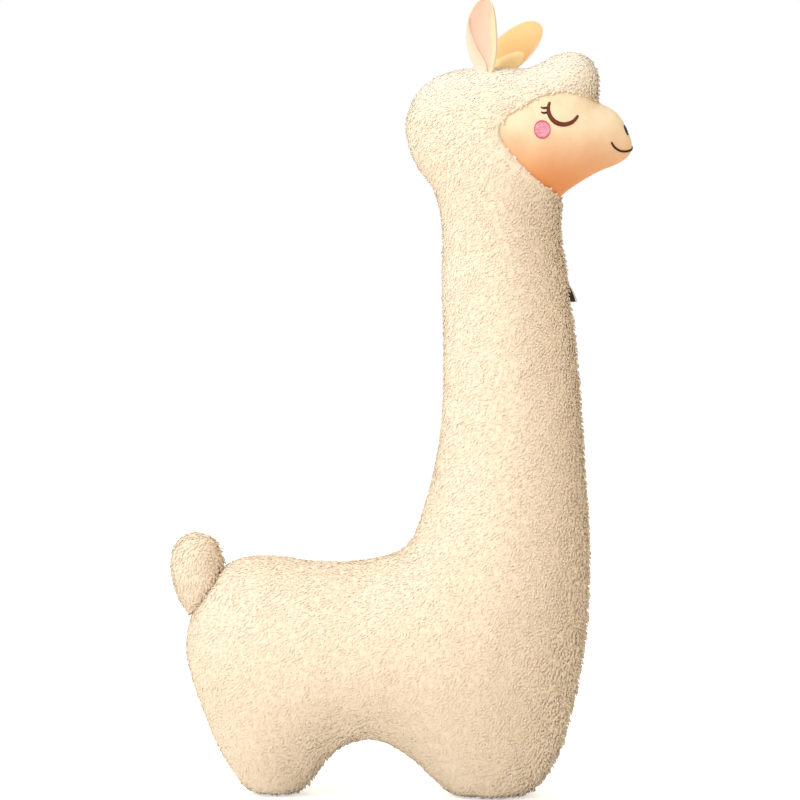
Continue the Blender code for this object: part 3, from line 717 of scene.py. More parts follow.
def curl_mesh(name, kind, curls):
    """Many small curls as one mesh: three-sided bent cones that rise from their roots and lie over."""
    points = curl_points(kind, curls)
    press_down(points)
    count, corners = points.shape[:2]
    starts = np.arange(count)[:, None, None] * corners
    triangles = (np.array(curl_faces(len(kind["widths"])))[None] + starts).reshape(-1, 3)
    mesh = triangle_mesh(name, points.reshape(-1, 3), triangles)
    cloth = np.repeat(curls["normal"], corners, axis=0)
    own = mesh_normals(mesh)
    outward = (own * cloth).sum(axis=1, keepdims=True)
    softness = kind["softness"] * smooth_step(outward, -0.9, -0.2)
    soft = unit(own * (1 - softness) + cloth * softness)
    mesh.normals_split_custom_set_from_vertices(soft.tolist())
    # Glint: more painted highlight on the nubs' tips on the front and underside.
    glint = kind["paleness"] + (1 - kind["paleness"]) * kind["glint"] * curls["tufted"]
    pale = np.append(np.repeat(kind["along"][:-1], CURL_SIDES), 1.0) * glint[:, None]
    # On the crown the whole curl takes the tips' painted highlight.
    crown = curls["crown"][:, None]
    write_values(mesh, "tip", crown + (1 - crown) * pale)
    tone = np.random.default_rng(count).random(count)
    write_values(mesh, "tint", np.repeat(tone, corners))
    return mesh


def comb(roots, normals, pull, wander, chance):
    """The direction in which each curl lies over, along the cloth."""
    flat = unit(pull - normals * (pull * normals).sum(axis=1, keepdims=True))
    drift = ripples(roots, DRIFT_WIDTH, "drift") * wander
    drift = drift + ripples(roots, STRAY_WIDTH, "stray") * wander * STRAY_SHARE
    turn = drift + chance.normal(0, wander * CHANCE_SHARE, len(roots))
    across = np.cross(normals, flat)
    return flat * np.cos(turn)[:, None] + across * np.sin(turn)[:, None]


def grow_layer(names, kind, mesh, lift, keep, pull, settings, sizes, chance):
    """Cover the kept part of a form with curls of one kind, shared out between the named pieces."""
    spacing, high, long, wide = sizes
    points = mesh_points(mesh) + mesh_normals(mesh) * np.reshape(lift, (-1, 1))
    triangles = mesh_triangles(mesh)
    roots, chosen, shares = scatter(points, triangles, spacing, chance)
    corner_normals = mesh_normals(mesh)[triangles[chosen]]
    normals = unit((corner_normals * shares[:, :, None]).sum(axis=1))
    kept = keep(roots)
    roots, normals = roots[kept], normals[kept]
    curls = {"root": roots, "normal": normals,
             "combed": comb(roots, normals, pull(roots), settings.wander, chance)}
    count = len(roots)
    clump = ripples(roots, CLUMP_WIDTH, "clumps")
    height = high * (1 + HEIGHT_CLUMP * clump + chance.normal(0, HEIGHT_CHANCE, count))
    curls["length"] = long * (1 + LENGTH_CLUMP * clump + chance.normal(0, LENGTH_CHANCE, count))
    curls["bend"] = settings.bend * chance.normal(0, 1, count)
    thickness = wide * chance.uniform(*WIDTH_RANGE, count)
    tufted = np.clip(normals @ TUFTED_SIDE, 0, 1)
    # Painted highlight on the crown, which also flattens the curls there.
    crown = smooth_step(roots[:, 2], *CROWN_RISE) * settings.crown_highlight
    curls["height"] = height * (1 + tufted * settings.tuft) * (1 - crown * CROWN_FLAT)
    curls["thickness"] = thickness * (1 + tufted * settings.tuft / 4)
    curls["tufted"] = tufted
    curls["crown"] = crown
    x, z = roots[:, 0], roots[:, 2]
    station = np.where(z < NECK_FOOT, x, NECK_PLACE + z - NECK_FOOT)
    for name, group in zip(names, np.array_split(np.argsort(station), len(names))):
        part = {key: values[group] for key, values in curls.items()}
        add_piece(name, curl_mesh(name, kind, part), curl_material())


def grow_fleece(parts, mesh, lift, keep, pull, settings):
    """Both layers of the fleece on a form: the low curls and the nubs among them."""
    chance = np.random.default_rng(settings.seed)
    low = (settings.spacing, settings.height, settings.length, settings.thickness)
    nub = (settings.nub_spacing, settings.nub_height, settings.nub_length, settings.nub_thickness)
    for layer, kind, sizes in (("curls", LOW_CURL, low), ("nubs", NUB, nub)):
        names = [f"fleece_{layer}_{part}" for part in parts]
        grow_layer(names, kind, mesh, lift, keep, pull, settings, sizes, chance)


def body_pull(roots):
    """The way that the body's fleece is stroked: back and down, off the seams and over the face."""
    pull = np.tile(BODY_STROKE, (len(roots), 1))
    near_seam = np.exp(-np.abs(roots[:, 1]) / SEAM_PART)
    pull[:, 1] += np.sign(roots[:, 1]) * near_seam * SEAM_PULL
    near_face = np.exp(-np.abs(inside_face(roots)) / FACE_PART)
    towards = unit((side_middle("face_panel_right") - roots) * (1, 0, 1))
    return pull + towards * near_face[:, None] * FACE_PULL


def tail_pull(roots):
    """The way that the tail's fleece is stroked: down its length and outward."""
    return unit(roots - side_middle("tail_fleece_right")) * TAIL_SPREAD + TAIL_STROKE


def under_label(roots):
    """Which places lie where the label comes out of the seam."""
    low, high = np.array(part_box("sewn_label"))
    return np.all((roots > low - LABEL_ROOM) & (roots < high + LABEL_ROOM), axis=1)


# Shader groups

def new_group(name, inputs, outputs):
    """An empty shader group with named sockets, and its two ends."""
    tree = bpy.data.node_groups.new(name, "ShaderNodeTree")
    for socket, kind, default in inputs:
        made = tree.interface.new_socket(name=socket, in_out="INPUT", socket_type=kind)
        made.default_value = default
    for socket, kind in outputs:
        tree.interface.new_socket(name=socket, in_out="OUTPUT", socket_type=kind)
    return tree, tree.nodes.new("NodeGroupInput"), tree.nodes.new("NodeGroupOutput")


def add_node(tree, kind, values=(), links=(), **settings):
    """A node with its settings, its input values and the outputs that feed it."""
    node = tree.nodes.new(kind)
    for name, value in settings.items():
        setattr(node, name, value)
    for socket, value in dict(values).items():
        node.inputs[socket].default_value = value
    for socket, source in dict(links).items():
        tree.links.new(source, node.inputs[socket])
    return node


def feed(tree, socket, given):
    """Link an output to a socket, or set the socket to a value."""
    if isinstance(given, bpy.types.NodeSocket):
        tree.links.new(given, socket)
    else:
        socket.default_value = given


def calculate(tree, operation, first, second):
    """What an output gives together with a number or with another output."""
    node = add_node(tree, "ShaderNodeMath", {}, {0: first}, operation=operation)
    feed(tree, node.inputs[1], second)
    return node.outputs[0]


def blend(tree, first, second, share):
    """A mix of two colours by an output from 0 to 1."""
    mix = add_node(tree, "ShaderNodeMix", {6: (*first, 1), 7: (*second, 1)}, {"Factor": share},
                   data_type="RGBA")
    return mix.outputs[2]


@lru_cache(maxsize=None)
def mottle_group():
    """Cloudy change of tone, as cloth and pile show where they lie at unlike angles."""
    inputs = [("Colour", "NodeSocketColor", (1, 1, 1, 1)), ("Deep", "NodeSocketColor", (0, 0, 0, 1)),
              ("Scale", "NodeSocketFloat", 30.0), ("Amount", "NodeSocketFloat", 0.3)]
    tree, start, end = new_group("cloth_mottle", inputs, [("Colour", "NodeSocketColor")])
    place = add_node(tree, "ShaderNodeTexCoord")
    noise = add_node(tree, "ShaderNodeTexNoise", {"Detail": 4.0, "Roughness": 0.6},
                     {"Vector": place.outputs["Object"], "Scale": start.outputs["Scale"]})
    spread = add_node(tree, "ShaderNodeMapRange", {"From Min": 0.35, "From Max": 0.68},
                      {"Value": noise.outputs["Fac"]})
    share = calculate(tree, "MULTIPLY", spread.outputs[0], start.outputs["Amount"])
    mix = add_node(tree, "ShaderNodeMix", {}, {"Factor": share, 6: start.outputs["Colour"],
                   7: start.outputs["Deep"]}, data_type="RGBA")
    tree.links.new(mix.outputs[2], end.inputs["Colour"])
    return tree


@lru_cache(maxsize=None)
def nap_group():
    """Height of a fine brushed nap, with a coarser drift across it."""
    inputs = [("Fine", "NodeSocketFloat", 1400.0), ("Coarse", "NodeSocketFloat", 180.0),
              ("Stretch", "NodeSocketVector", (1, 1, 1))]
    tree, start, end = new_group("brushed_nap", inputs, [("Height", "NodeSocketFloat")])
    place = add_node(tree, "ShaderNodeTexCoord")
    drawn = add_node(tree, "ShaderNodeVectorMath", {}, {0: place.outputs["Object"],
                     1: start.outputs["Stretch"]}, operation="MULTIPLY")
    fine = add_node(tree, "ShaderNodeTexNoise", {"Detail": 2.0},
                    {"Vector": drawn.outputs[0], "Scale": start.outputs["Fine"]})
    coarse = add_node(tree, "ShaderNodeTexNoise", {"Detail": 3.0},
                      {"Vector": drawn.outputs[0], "Scale": start.outputs["Coarse"]})
    total = add_node(tree, "ShaderNodeMath", {1: 0.6}, {0: fine.outputs["Fac"],
                     2: coarse.outputs["Fac"]}, operation="MULTIPLY_ADD")
    tree.links.new(total.outputs[0], end.inputs["Height"])
    return tree


# Materials

# Tilt and ends of the velour's painted light ramp.
FACE_LIGHT_SLANT = 0.07
FACE_START = 0.008
FACE_STOP = 0.020


def cloth_material(name, roughness, sheen=0.0, sheen_tint=(1, 1, 1), specular=0.25):
    """A soft fabric shader with nothing yet plugged into its colour."""
    material = bpy.data.materials.new(name)
    material.use_nodes = True
    shader = material.node_tree.nodes["Principled BSDF"]
    shader.inputs["Roughness"].default_value = roughness
    shader.inputs["Specular IOR Level"].default_value = specular
    shader.inputs["Sheen Weight"].default_value = sheen
    shader.inputs["Sheen Roughness"].default_value = 0.5
    shader.inputs["Sheen Tint"].default_value = (*sheen_tint, 1)
    return material, material.node_tree, shader


def deeper(colour, factor):
    """A colour times a factor, or times one factor for each of its parts."""
    return tuple(float(value) for value in np.minimum(np.multiply(colour, factor), 1))


def dye(tree, shader, colour, deep, scale, amount):
    """Colour a shader through the mottle. The colour and the amount are values or nodes' outputs."""
    mottle = add_node(tree, "ShaderNodeGroup", {}, {}, node_tree=mottle_group())
    given = {"Colour": colour, "Deep": (*deep, 1), "Scale": scale, "Amount": amount}
    for name, value in given.items():
        feed(tree, mottle.inputs[name], value)
    tree.links.new(mottle.outputs["Colour"], shader.inputs["Base Color"])


def brush(tree, shader, fine, coarse, depth, strength, stretch=(1, 1, 1)):
    """Roughen a shader's surface with a brushed nap."""
    nap = add_node(tree, "ShaderNodeGroup", {"Fine": fine, "Coarse": coarse, "Stretch": stretch},
                   node_tree=nap_group())
    bump = add_node(tree, "ShaderNodeBump", {"Strength": strength, "Distance": depth},
                    {"Height": nap.outputs["Height"]})
    tree.links.new(bump.outputs["Normal"], shader.inputs["Normal"])


@lru_cache(maxsize=None)
def curl_material():
    """The fleece's curls, each with its own tone: deeper at the root and paler at the tip, which is
    painted shade down in the pile and painted highlight on the tips.
    """
    fleece = bpy.context.scene.plush_fleece
    material, tree, shader = cloth_material("curly_fleece", 0.95, specular=0.0)
    # The tip attribute carries the painted highlight on the tips.
    tip = add_node(tree, "ShaderNodeAttribute", attribute_name="tip")
    tint = add_node(tree, "ShaderNodeAttribute", attribute_name="tint")
    colour = blend(tree, fleece.root_colour, fleece.tip_highlight_colour, tip.outputs["Fac"])
    amount = calculate(tree, "MULTIPLY", tint.outputs["Fac"], 0.30)
    dye(tree, shader, colour, deeper(fleece.root_colour, 0.90), scale=26.0, amount=amount)
    brush(tree, shader, fine=1500.0, coarse=600.0, depth=0.0004, strength=0.2)
    return material


@lru_cache(maxsize=None)
def ground_material():
    """The knitted ground under the curls."""
    colour = bpy.context.scene.plush_fleece.ground_colour
    material, tree, shader = cloth_material("fleece_ground", 0.95, 0.2, (1.0, 0.95, 0.88))
    dye(tree, shader, (*colour, 1), deeper(colour, 0.9), scale=220.0, amount=0.5)
    brush(tree, shader, fine=900.0, coarse=300.0, depth=0.001, strength=0.6)
    return material


@lru_cache(maxsize=None)
def velour_material():
    """The face's short velour: paler on the brow and deeper along the jaw and a little at the back, a
    ramp that paints light from above on the brow and shade under the muzzle over the velour's own peach.
    """
    face = bpy.context.scene.plush_face
    material, tree, shader = cloth_material("face_velour", 0.8, 0.35, (1.0, 0.93, 0.82))
    low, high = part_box("face_panel_right")
    place = add_node(tree, "ShaderNodeTexCoord")
    slanted = add_node(tree, "ShaderNodeVectorMath", {1: (FACE_LIGHT_SLANT, 0, 1)},
                       {0: place.outputs["Object"]}, operation="DOT_PRODUCT")
    level = FACE_LIGHT_SLANT * (low.x + high.x) / 2
    ends = {"From Min": low.z + level + FACE_START, "From Max": high.z + level - FACE_STOP}
    light_ramp = add_node(tree, "ShaderNodeMapRange", ends, {"Value": slanted.outputs["Value"]},
                     interpolation_type="SMOOTHSTEP")
    colour = blend(tree, face.shaded_jaw_colour, face.lit_brow_colour, light_ramp.outputs[0])
    dye(tree, shader, colour, deeper(face.shaded_jaw_colour, 0.86), scale=34.0, amount=0.22)
    brush(tree, shader, fine=2600.0, coarse=420.0, depth=0.0003, strength=0.35, stretch=(1, 1, 0.4))
    return material


@lru_cache(maxsize=None)
def thread_material(name, colour, grain=900.0, tone_and_sheen=0.62, amount=0.55):
    """Rayon thread: a soft gloss, with strands deeper than their colour; a factor above 1 makes them
    paler instead, as painted highlight.
    """
    material, tree, shader = cloth_material(name, 0.45, specular=0.3)
    dye(tree, shader, (*colour, 1), deeper(colour, tone_and_sheen), grain, amount)
    brush(tree, shader, fine=5000.0, coarse=1600.0, depth=0.0001, strength=0.4)
    return material


@lru_cache(maxsize=None)
def ear_material(name, colour):
    """The ears' brushed cloth."""
    material, tree, shader = cloth_material(name, 0.8, 0.15, (1.0, 0.95, 0.86))
    dye(tree, shader, (*colour, 1), deeper(colour, (0.97, 0.89, 0.82)), scale=60.0, amount=0.45)
    brush(tree, shader, fine=2400.0, coarse=500.0, depth=0.0004, strength=0.4, stretch=(1, 1, 0.5))
    return material


@lru_cache(maxsize=None)
def tape_material():
    """The label's white woven tape, white along its fold, its face away from the fold painted dark as
    the shadow inside the folded tape.
    """
    label = bpy.context.scene.plush_label
    material, tree, shader = cloth_material("satin_tape", 0.38, 0.1)
    rim = add_node(tree, "ShaderNodeAttribute", attribute_name="fold")
    colour = blend(tree, label.painted_shadow_colour, label.colour, rim.outputs["Fac"])
    dye(tree, shader, colour, deeper(label.painted_shadow_colour, 0.5), scale=300.0, amount=0.1)
    brush(tree, shader, fine=3000.0, coarse=1200.0, depth=0.0001, strength=0.4, stretch=(1, 1, 4))
    return material


@lru_cache(maxsize=None)
def fibre_material():
    """White fibre filling, inside the covers."""
    colour = shade(240, 240, 236)
    material, tree, shader = cloth_material("fibre_filling", 1.0, 0.3)
    dye(tree, shader, (*colour, 1), deeper(colour, 0.7), scale=90.0, amount=0.6)
    brush(tree, shader, fine=500.0, coarse=120.0, depth=0.003, strength=0.8)
    return material


# Embroidery

SATIN_ACROSS = 9
STITCH_BITE = 0.0007
STITCH_LIFT = 0.0003
RIB_DIP = 0.74
CORD_SIDES = 8
CORD_LIFT = 0.30
CORD_TWIST = 2.6
OUTLINE_STEP = 0.0008
LID_TURN = (155, 335)
SMILE_TURN = (200, 318)
LASH_CROWN = 0.8
LASH_WIDTHS = (0.0024, 0.0026, 0.0022, 0.0014)
SMILE_WIDTHS = (0.8, 1, 1, 1, 1, 1, 0.9, 0.6)
NOSTRIL_WIDTHS = (0.0012, 0.0026, 0.0024, 0.0012)
BLUSH_REACH = 0.985


class FaceCloth:
    """One side of the face's cloth, for laying stitches on it from the side view."""

    def __init__(self, side):
        name = "face_velour_right" if side < 0 else "face_velour_left"
        mesh = bpy.data.objects[name].data
        self.side = side
        self.tree = BVHTree.FromPolygons(mesh_points(mesh).tolist(), mesh_triangles(mesh).tolist())

    def touch(self, x, z):
        """The cloth's surface and its direction at a place in the side view."""
        start = Vector((x, self.side * 0.3, z))
        place, normal, _, _ = self.tree.ray_cast(start, Vector((0, -self.side, 0)), 0.3)
        if place is None:
            place, normal, _, _ = self.tree.find_nearest(Vector((x, self.side * SEAM_GAP, z)))
            normal = Vector((normal.x, 0, normal.z)).normalized()
        elif normal.y * self.side < 0:
            normal = -normal
        return np.array(place), np.array(normal)

    def lay(self, spots):
        """Surface places and directions for many spots."""
        touched = [self.touch(x, z) for x, z in spots]
        return np.array([spot[0] for spot in touched]), np.array([spot[1] for spot in touched])


def even_line(line, spacing, closed=False):
    """A line with its points evenly spaced, and the share of its length at each."""
    line = np.asarray(line, float)
    if closed:
        line = np.vstack([line, line[:1]])
    travelled = np.concatenate([[0], np.cumsum(np.linalg.norm(np.diff(line, axis=0), axis=1))])
    count = max(4, int(round(travelled[-1] / spacing)) + 1)
    stations = np.linspace(0, travelled[-1], count, endpoint=not closed)
    spots = np.column_stack([np.interp(stations, travelled, line[:, axis])
                             for axis in range(line.shape[1])])
    return spots, stations / travelled[-1]


def arc(centre, radius, first, last):
    """Points on an arc in the side view, by angle from +X."""
    turns = np.radians(np.linspace(first, last, 60))
    return np.column_stack([centre[0] + radius * np.cos(turns), centre[1] + radius * np.sin(turns)])


def sideways(line):
    """The direction across a line in the side view, at each point."""
    along = unit(np.gradient(line, axis=0))
    return np.column_stack([-along[:, 1], along[:, 0]])


def ring_mesh(name, rings, closed):
    """A tube through rings of points, joined end to end or capped."""
    count, sides = rings.shape[:2]
    points = rings.reshape(-1, 3)
    index = np.arange(count * sides).reshape(count, sides)
    ahead = np.roll(index, -1, axis=0) if closed else index[1:]
    here = index if closed else index[:-1]
    around_here, around_ahead = np.roll(here, -1, axis=1), np.roll(ahead, -1, axis=1)
    first = np.stack([here, around_here, around_ahead], axis=-1).reshape(-1, 3)
    second = np.stack([here, around_ahead, ahead], axis=-1).reshape(-1, 3)
    triangles = np.vstack([first, second])
    if not closed:
        for ring, turned in ((index[0], True), (index[-1], False)):
            middle = len(points)
            points = np.vstack([points, points[ring].mean(axis=0)])
            fan = np.column_stack([ring, np.roll(ring, -1), np.full(sides, middle)])
            triangles = np.vstack([triangles, fan[:, ::-1] if turned else fan])
    mesh = triangle_mesh(name, points, triangles)
    form = bmesh.new()
    form.from_mesh(mesh)
    bmesh.ops.recalc_face_normals(form, faces=form.faces)
    form.to_mesh(mesh)
    form.free()
    mesh.shade_smooth()
    return mesh


def satin_band(name, cloth, line, widths, crown, pitch, square=2.0):
    """Satin stitches laid side by side along a line: a crowned band with a rib for each thread."""
    spots, share = even_line(line, pitch / 2)
    half = np.interp(share, np.linspace(0, 1, len(widths)), widths) / 2
    over = sideways(spots)
    reach = np.linspace(-1, 1, SATIN_ACROSS)
    flat = spots[:, None] + over[:, None] * (half[:, None] * reach[None])[..., None]
    places, normals = cloth.lay(flat.reshape(-1, 2))
    places = (places + normals * STITCH_LIFT).reshape(len(spots), SATIN_ACROSS, 3)
    normals = normals.reshape(len(spots), SATIN_ACROSS, 3)
    rib = np.where(np.arange(len(spots)) % 2 == 0, 1.0, RIB_DIP)
    dome = np.maximum(1 - np.abs(reach) ** (2 * square), 0) ** 0.5
    height = crown * dome[None] * rib[:, None]
    top = places + normals * height[..., None]
    under = places[:, 1:-1][:, ::-1] - normals[:, 1:-1][:, ::-1] * STITCH_BITE
    return ring_mesh(name, np.concatenate([top, under], axis=1), closed=False)


def round_rings(line, across, upward, radius):
    """Rings of points round a line, with one radius or with one for each point of a ring."""
    turns = np.linspace(0, 2 * math.pi, CORD_SIDES, endpoint=False)
    ring = across[:, None] * np.cos(turns)[None, :, None]
    ring = ring + upward[:, None] * np.sin(turns)[None, :, None]
    return line[:, None] + ring * radius[..., None]


def corded_line(name, cloth, line, thickness):
    """A twisted thread laid on the cloth along a closed line."""
    spots, share = even_line(line, thickness * 0.45, closed=True)
    places, normals = cloth.lay(spots)
    along = unit(np.roll(places, -1, axis=0) - np.roll(places, 1, axis=0))
    across = unit(np.cross(along, normals))
    length = np.linalg.norm(np.diff(places, axis=0), axis=1).sum()
    plies = round(length / (thickness * CORD_TWIST))
    twist = share[:, None] * plies * 2 * math.pi
    turns = np.linspace(0, 2 * math.pi, CORD_SIDES, endpoint=False)
    radius = thickness / 2 * (1 + 0.16 * np.cos(2 * (turns[None] - twist / 2)))
    centre = places + normals * thickness * CORD_LIFT
    return ring_mesh(name, round_rings(centre, across, np.cross(across, along), radius), closed=True)


def outline_of(line, widths):
    """The closed outline of a band of changing width."""
    spots, share = even_line(line, OUTLINE_STEP)
    half = np.interp(share, np.linspace(0, 1, len(widths)), widths)[:, None] / 2
    over = sideways(spots)
    return np.vstack([spots + over * half, (spots - over * half)[::-1]])


def lid_line(stitch):
    """The closed lid's arc in the side view, from the frame's own lid."""
    low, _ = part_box("eye_right")
    centre = (low.x + stitch.eye_radius + stitch.eye_width * 0.32,
              low.z + stitch.eye_radius + stitch.eye_width / 2)
    return arc(centre, stitch.eye_radius, *LID_TURN)


def lid_widths(stitch):
    """The lid's width along its arc: thin at both ends and full at the lowest point."""
    swell = np.sin(np.linspace(0, math.pi, 25)) ** 0.8
    return stitch.eye_end + (stitch.eye_width - stitch.eye_end) * swell


def smile_line(stitch):
    """Half of the smile in the side view, from the frame's own mouth."""
    low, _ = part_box("mouth_right")
    centre = (low.x + stitch.mouth_radius * 0.94 + stitch.mouth_width * 0.45,
              low.z + stitch.mouth_radius + stitch.mouth_width / 2)
    return arc(centre, stitch.mouth_radius, *SMILE_TURN)


def lash_line(number):
    """A lash: a short stroke that dips in its middle, from the frame's own lash."""
    low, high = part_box(f"lash_{number}_right")
    middle = (low.z + high.z) / 2
    long = high.x - low.x
    return np.array([(high.x + 0.0006, middle - 0.0001), (low.x + long * 0.65, middle - 0.0008),
                     (low.x + long * 0.3, middle - 0.0006), (low.x, middle + 0.0006)])


def nostril_line():
    """A nostril's slanting stroke, from the frame's own nostril."""
    low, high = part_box("nostril_right")
    middle = ((low.x + high.x) / 2 + 0.0002, (low.z + high.z) / 2 - 0.0004)
    return np.array([(low.x + 0.0006, high.z), middle, (high.x - 0.0006, low.z)])


def embroider_eye(side_name, cloth, stitch):
    """The closed lid, its corded rim and its two lashes."""
    brown = thread_material("brown_satin", tuple(stitch.lid_colour))
    dark = thread_material("dark_brown_thread", tuple(stitch.lid_rim_colour))
    lid, widths = lid_line(stitch), lid_widths(stitch)
    mesh = satin_band("lid", cloth, lid, widths, stitch.crown, stitch.pitch)
    add_piece(f"eye_lid_{side_name}", mesh, brown, [f"eye_{side_name}"])
    mesh = corded_line("lid_rim", cloth, outline_of(lid, widths), stitch.rim)
    add_piece(f"eye_rim_{side_name}", mesh, dark)
    for number in (1, 2):
        mesh = satin_band("lash", cloth, lash_line(number), LASH_WIDTHS, stitch.crown * LASH_CROWN,
                          stitch.pitch)
        add_piece(f"lash_{number}_stitched_{side_name}", mesh, dark,
                  [f"lash_{number}_{side_name}"])


def embroider_cheek(side_name, cloth, stitch):
    """The round cheek, filled with upright stitches, and its corded rim."""
    # The paler patches on the cheek's satin are painted highlights of the stitches' sheen.
    pink = thread_material("pink_satin", tuple(stitch.blush_colour), grain=300.0, tone_and_sheen=2.0,
                           amount=0.9)
    rose = thread_material("rose_thread", tuple(stitch.blush_rim_colour))
    low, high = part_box("cheek_right")
    wide, tall = (high.x - low.x) / 2, (high.z - low.z) / 2
    centre = side_middle("cheek_right")[[0, 2]]
    run = np.cos(np.linspace(math.pi, 0, 60))
    blush = np.column_stack([centre[0] + run * wide * BLUSH_REACH, np.full(60, centre[1])])
    chord = 2 * tall * np.sqrt(1 - (np.linspace(-1, 1, 81) * BLUSH_REACH) ** 2)
    mesh = satin_band("blush", cloth, blush, chord, stitch.crown, stitch.pitch * 1.3, square=3.0)
    add_piece(f"cheek_blush_{side_name}", mesh, pink, [f"cheek_{side_name}"])
    turns = np.linspace(0, 2 * math.pi, 72, endpoint=False)
    rim = centre + np.column_stack([wide * np.cos(turns), tall * np.sin(turns)])
    mesh = corded_line("blush_rim", cloth, rim, stitch.rim * 1.25)
    add_piece(f"cheek_rim_{side_name}", mesh, rose)


def embroider_muzzle(side_name, cloth, stitch):
    """Half of the smile, and a nostril."""
    black = thread_material("black_thread", tuple(stitch.black_colour))
    widths = stitch.mouth_width * np.array(SMILE_WIDTHS)
    mesh = satin_band("smile", cloth, smile_line(stitch), widths, stitch.crown, stitch.pitch)
    add_piece(f"smile_{side_name}", mesh, black, [f"mouth_{side_name}"])
    mesh = satin_band("nostril", cloth, nostril_line(), NOSTRIL_WIDTHS, stitch.crown, stitch.pitch)
    add_piece(f"nostril_stitched_{side_name}", mesh, black, [f"nostril_{side_name}"])


# Ears

EAR_ROWS = 40
EAR_COLUMNS = 26
EAR_WIDEST = 0.45
EAR_SHAPES = {-1: {"root": 0.50, "fullness": 0.95, "sway": -0.0042},
              1: {"root": 0.66, "fullness": 1.08, "sway": 0.0}}
HEM_STEP = 0.0016
LAYER_GAP = 0.0004

# The folds' edges, as pairs: a share of the ear's height and a place from -1 to 1 across it.
BACK_CREASE = ((0, 0.36), (0.13, 0.17), (0.30, -0.30), (0.50, -0.62), (0.67, -0.90), (0.85, -0.97))
TURNED_EDGE = ((0, 0.70), (0.14, 0.72), (0.38, 0.72), (0.62, 0.66), (0.75, 0.74), (0.93, 0.95))
PUFF_TOP = ((0, -0.40), (0.30, -0.06), (0.42, 0.08), (0.52, 0.30), (0.57, 0.58))
PUFF_FOOT = ((0, 0.97), (0.50, 0.96), (0.57, 0.72))


def ear_width(share, root):
    """An ear's width at a share of its length, as a part of the greatest width."""
    below = root + (1 - root) * np.sin(np.minimum(share / EAR_WIDEST, 1) * math.pi / 2)
    above = 1 - (np.maximum(share - EAR_WIDEST, 0) / (1 - EAR_WIDEST)) ** 2.3
    above = np.sqrt(np.maximum(above, 0))
    return np.where(share < EAR_WIDEST, below, above)


def ear_places(ears, side, across, along, lift):
    """Points of an ear's layer. Across runs from -1 at the back edge to 1 at the front edge."""
    lean = ears.lean_right if side < 0 else ears.lean_left
    up = np.array([math.sin(lean), 0, math.cos(lean)])
    facing = np.array([0, side, 0])
    forward = np.array([math.cos(lean), 0, -math.sin(lean)])
    seat = np.array([ears.seat[0], side * ears.seat[1], ears.seat[2]])
    travel = -ears.root + (ears.length + ears.root) * along
    share = np.maximum(travel, 0) / ears.length
    shape = EAR_SHAPES[side]
    half = ears.width / 2 * shape["fullness"] * ear_width(share, shape["root"])
    sway = shape["sway"] * np.sin(share ** 1.25 * math.pi)
    reach = half * across
    cup = ears.cup * ((across * half / ears.width * 2) ** 2 - 0.35) * (1.35 - share)
    if side < 0:
        cup = cup + 0.0016 * np.sin(share * 4.2 + across * 1.4)
    else:
        pleat = fade(reach - 0.004 + 0.010 * (share - 0.2), 0.0065)
        cup = cup - pleat * 0.0048 * (1 - smooth_step(share, 0.15, 0.50))
        cup = cup + 0.0022 * np.sin(share * 3.4 + 0.5)
    cup = cup + lift
    return (seat + up * travel[..., None] + forward * (reach + sway)[..., None]
            + facing * cup[..., None])


def ear_layer(name, ears, side, lift, back, front, top=1.0, crown=0.0):
    """One layer of an ear as an open sheet between its back and front edges, bulged by its crown."""
    along = np.sin(np.linspace(0, math.pi / 2, EAR_ROWS)) * top
    share = np.maximum(along * (ears.length + ears.root) - ears.root, 0) / ears.length
    first = np.interp(share, *zip(*back))[:, None]
    last = np.interp(share, *zip(*front))[:, None]
    run = np.linspace(0, 1, EAR_COLUMNS)[None]
    columns = first + (last - first) * run
    rows = np.broadcast_to(along[:, None], columns.shape)
    bulge = lift + crown * np.sin(run * math.pi) * np.minimum(np.abs(last - first), 1)
    points = ear_places(ears, side, columns, rows, bulge).reshape(-1, 3)
    triangles = grid_triangles(EAR_ROWS, EAR_COLUMNS)
    return triangle_mesh(name, points, triangles if side < 0 else triangles[:, ::-1])


def rolled_hem(name, ears, side):
    """The rolled edge that runs up one side of an ear, over its tip and down the other."""
    up = np.sin(np.linspace(0, math.pi / 2, EAR_ROWS))
    along = np.concatenate([up, up[::-1][1:]])
    across = np.concatenate([np.full(EAR_ROWS, -1.0), np.full(EAR_ROWS - 1, 1.0)])
    line = ear_places(ears, side, across, along, ears.cloth * 0.4)
    line, share = even_line(line, HEM_STEP)
    heading = unit(np.gradient(line, axis=0))
    out = unit(np.cross(heading, (0, side, 0)))
    front = smooth_step(share, 0.45, 0.75)
    radius = ears.hem / 2 * (0.62 + 0.45 * front) * (1 + 0.05 * np.sin(share * 190))
    rings = round_rings(line, out, np.cross(out, heading), radius[:, None])
    return ring_mesh(name, rings, closed=False)


def sew_folds(ears, side, pale):
    """The folds of one ear: the right one's crease and turned edge, and the left one's puff, each in a
    paler cloth that paints the light falling on the fold.
    """
    lift = ears.cloth * 2
    if side < 0:
        pleat = ear_material("ear_pleat", tuple(ears.lit_pleat_colour))
        # The crease is lining folded over, in the pale hem cloth: painted light on the fold.
        crease = ear_layer("fold", ears, side, lift + 0.0008, ((0, -1),), BACK_CREASE,
                           top=0.80, crown=0.0022)
        turned = ear_layer("fold", ears, side, lift + 0.0006, TURNED_EDGE, ((0, 1),),
                           top=0.95, crown=0.0010)
        return [add_piece("ear_back_fold", crease, pale),
                add_piece("ear_front_fold", turned, pleat)]
    # The puff's paler cloth paints light on a fold that faces down.
    puff = ear_material("ear_puff", tuple(ears.lit_puff_colour))
    tuck = ear_layer("fold", ears, side, -LAYER_GAP, PUFF_TOP, PUFF_FOOT, top=0.648, crown=-0.0028)
    return [add_piece("ear_foot_tuck", tuck, puff)]


# Label

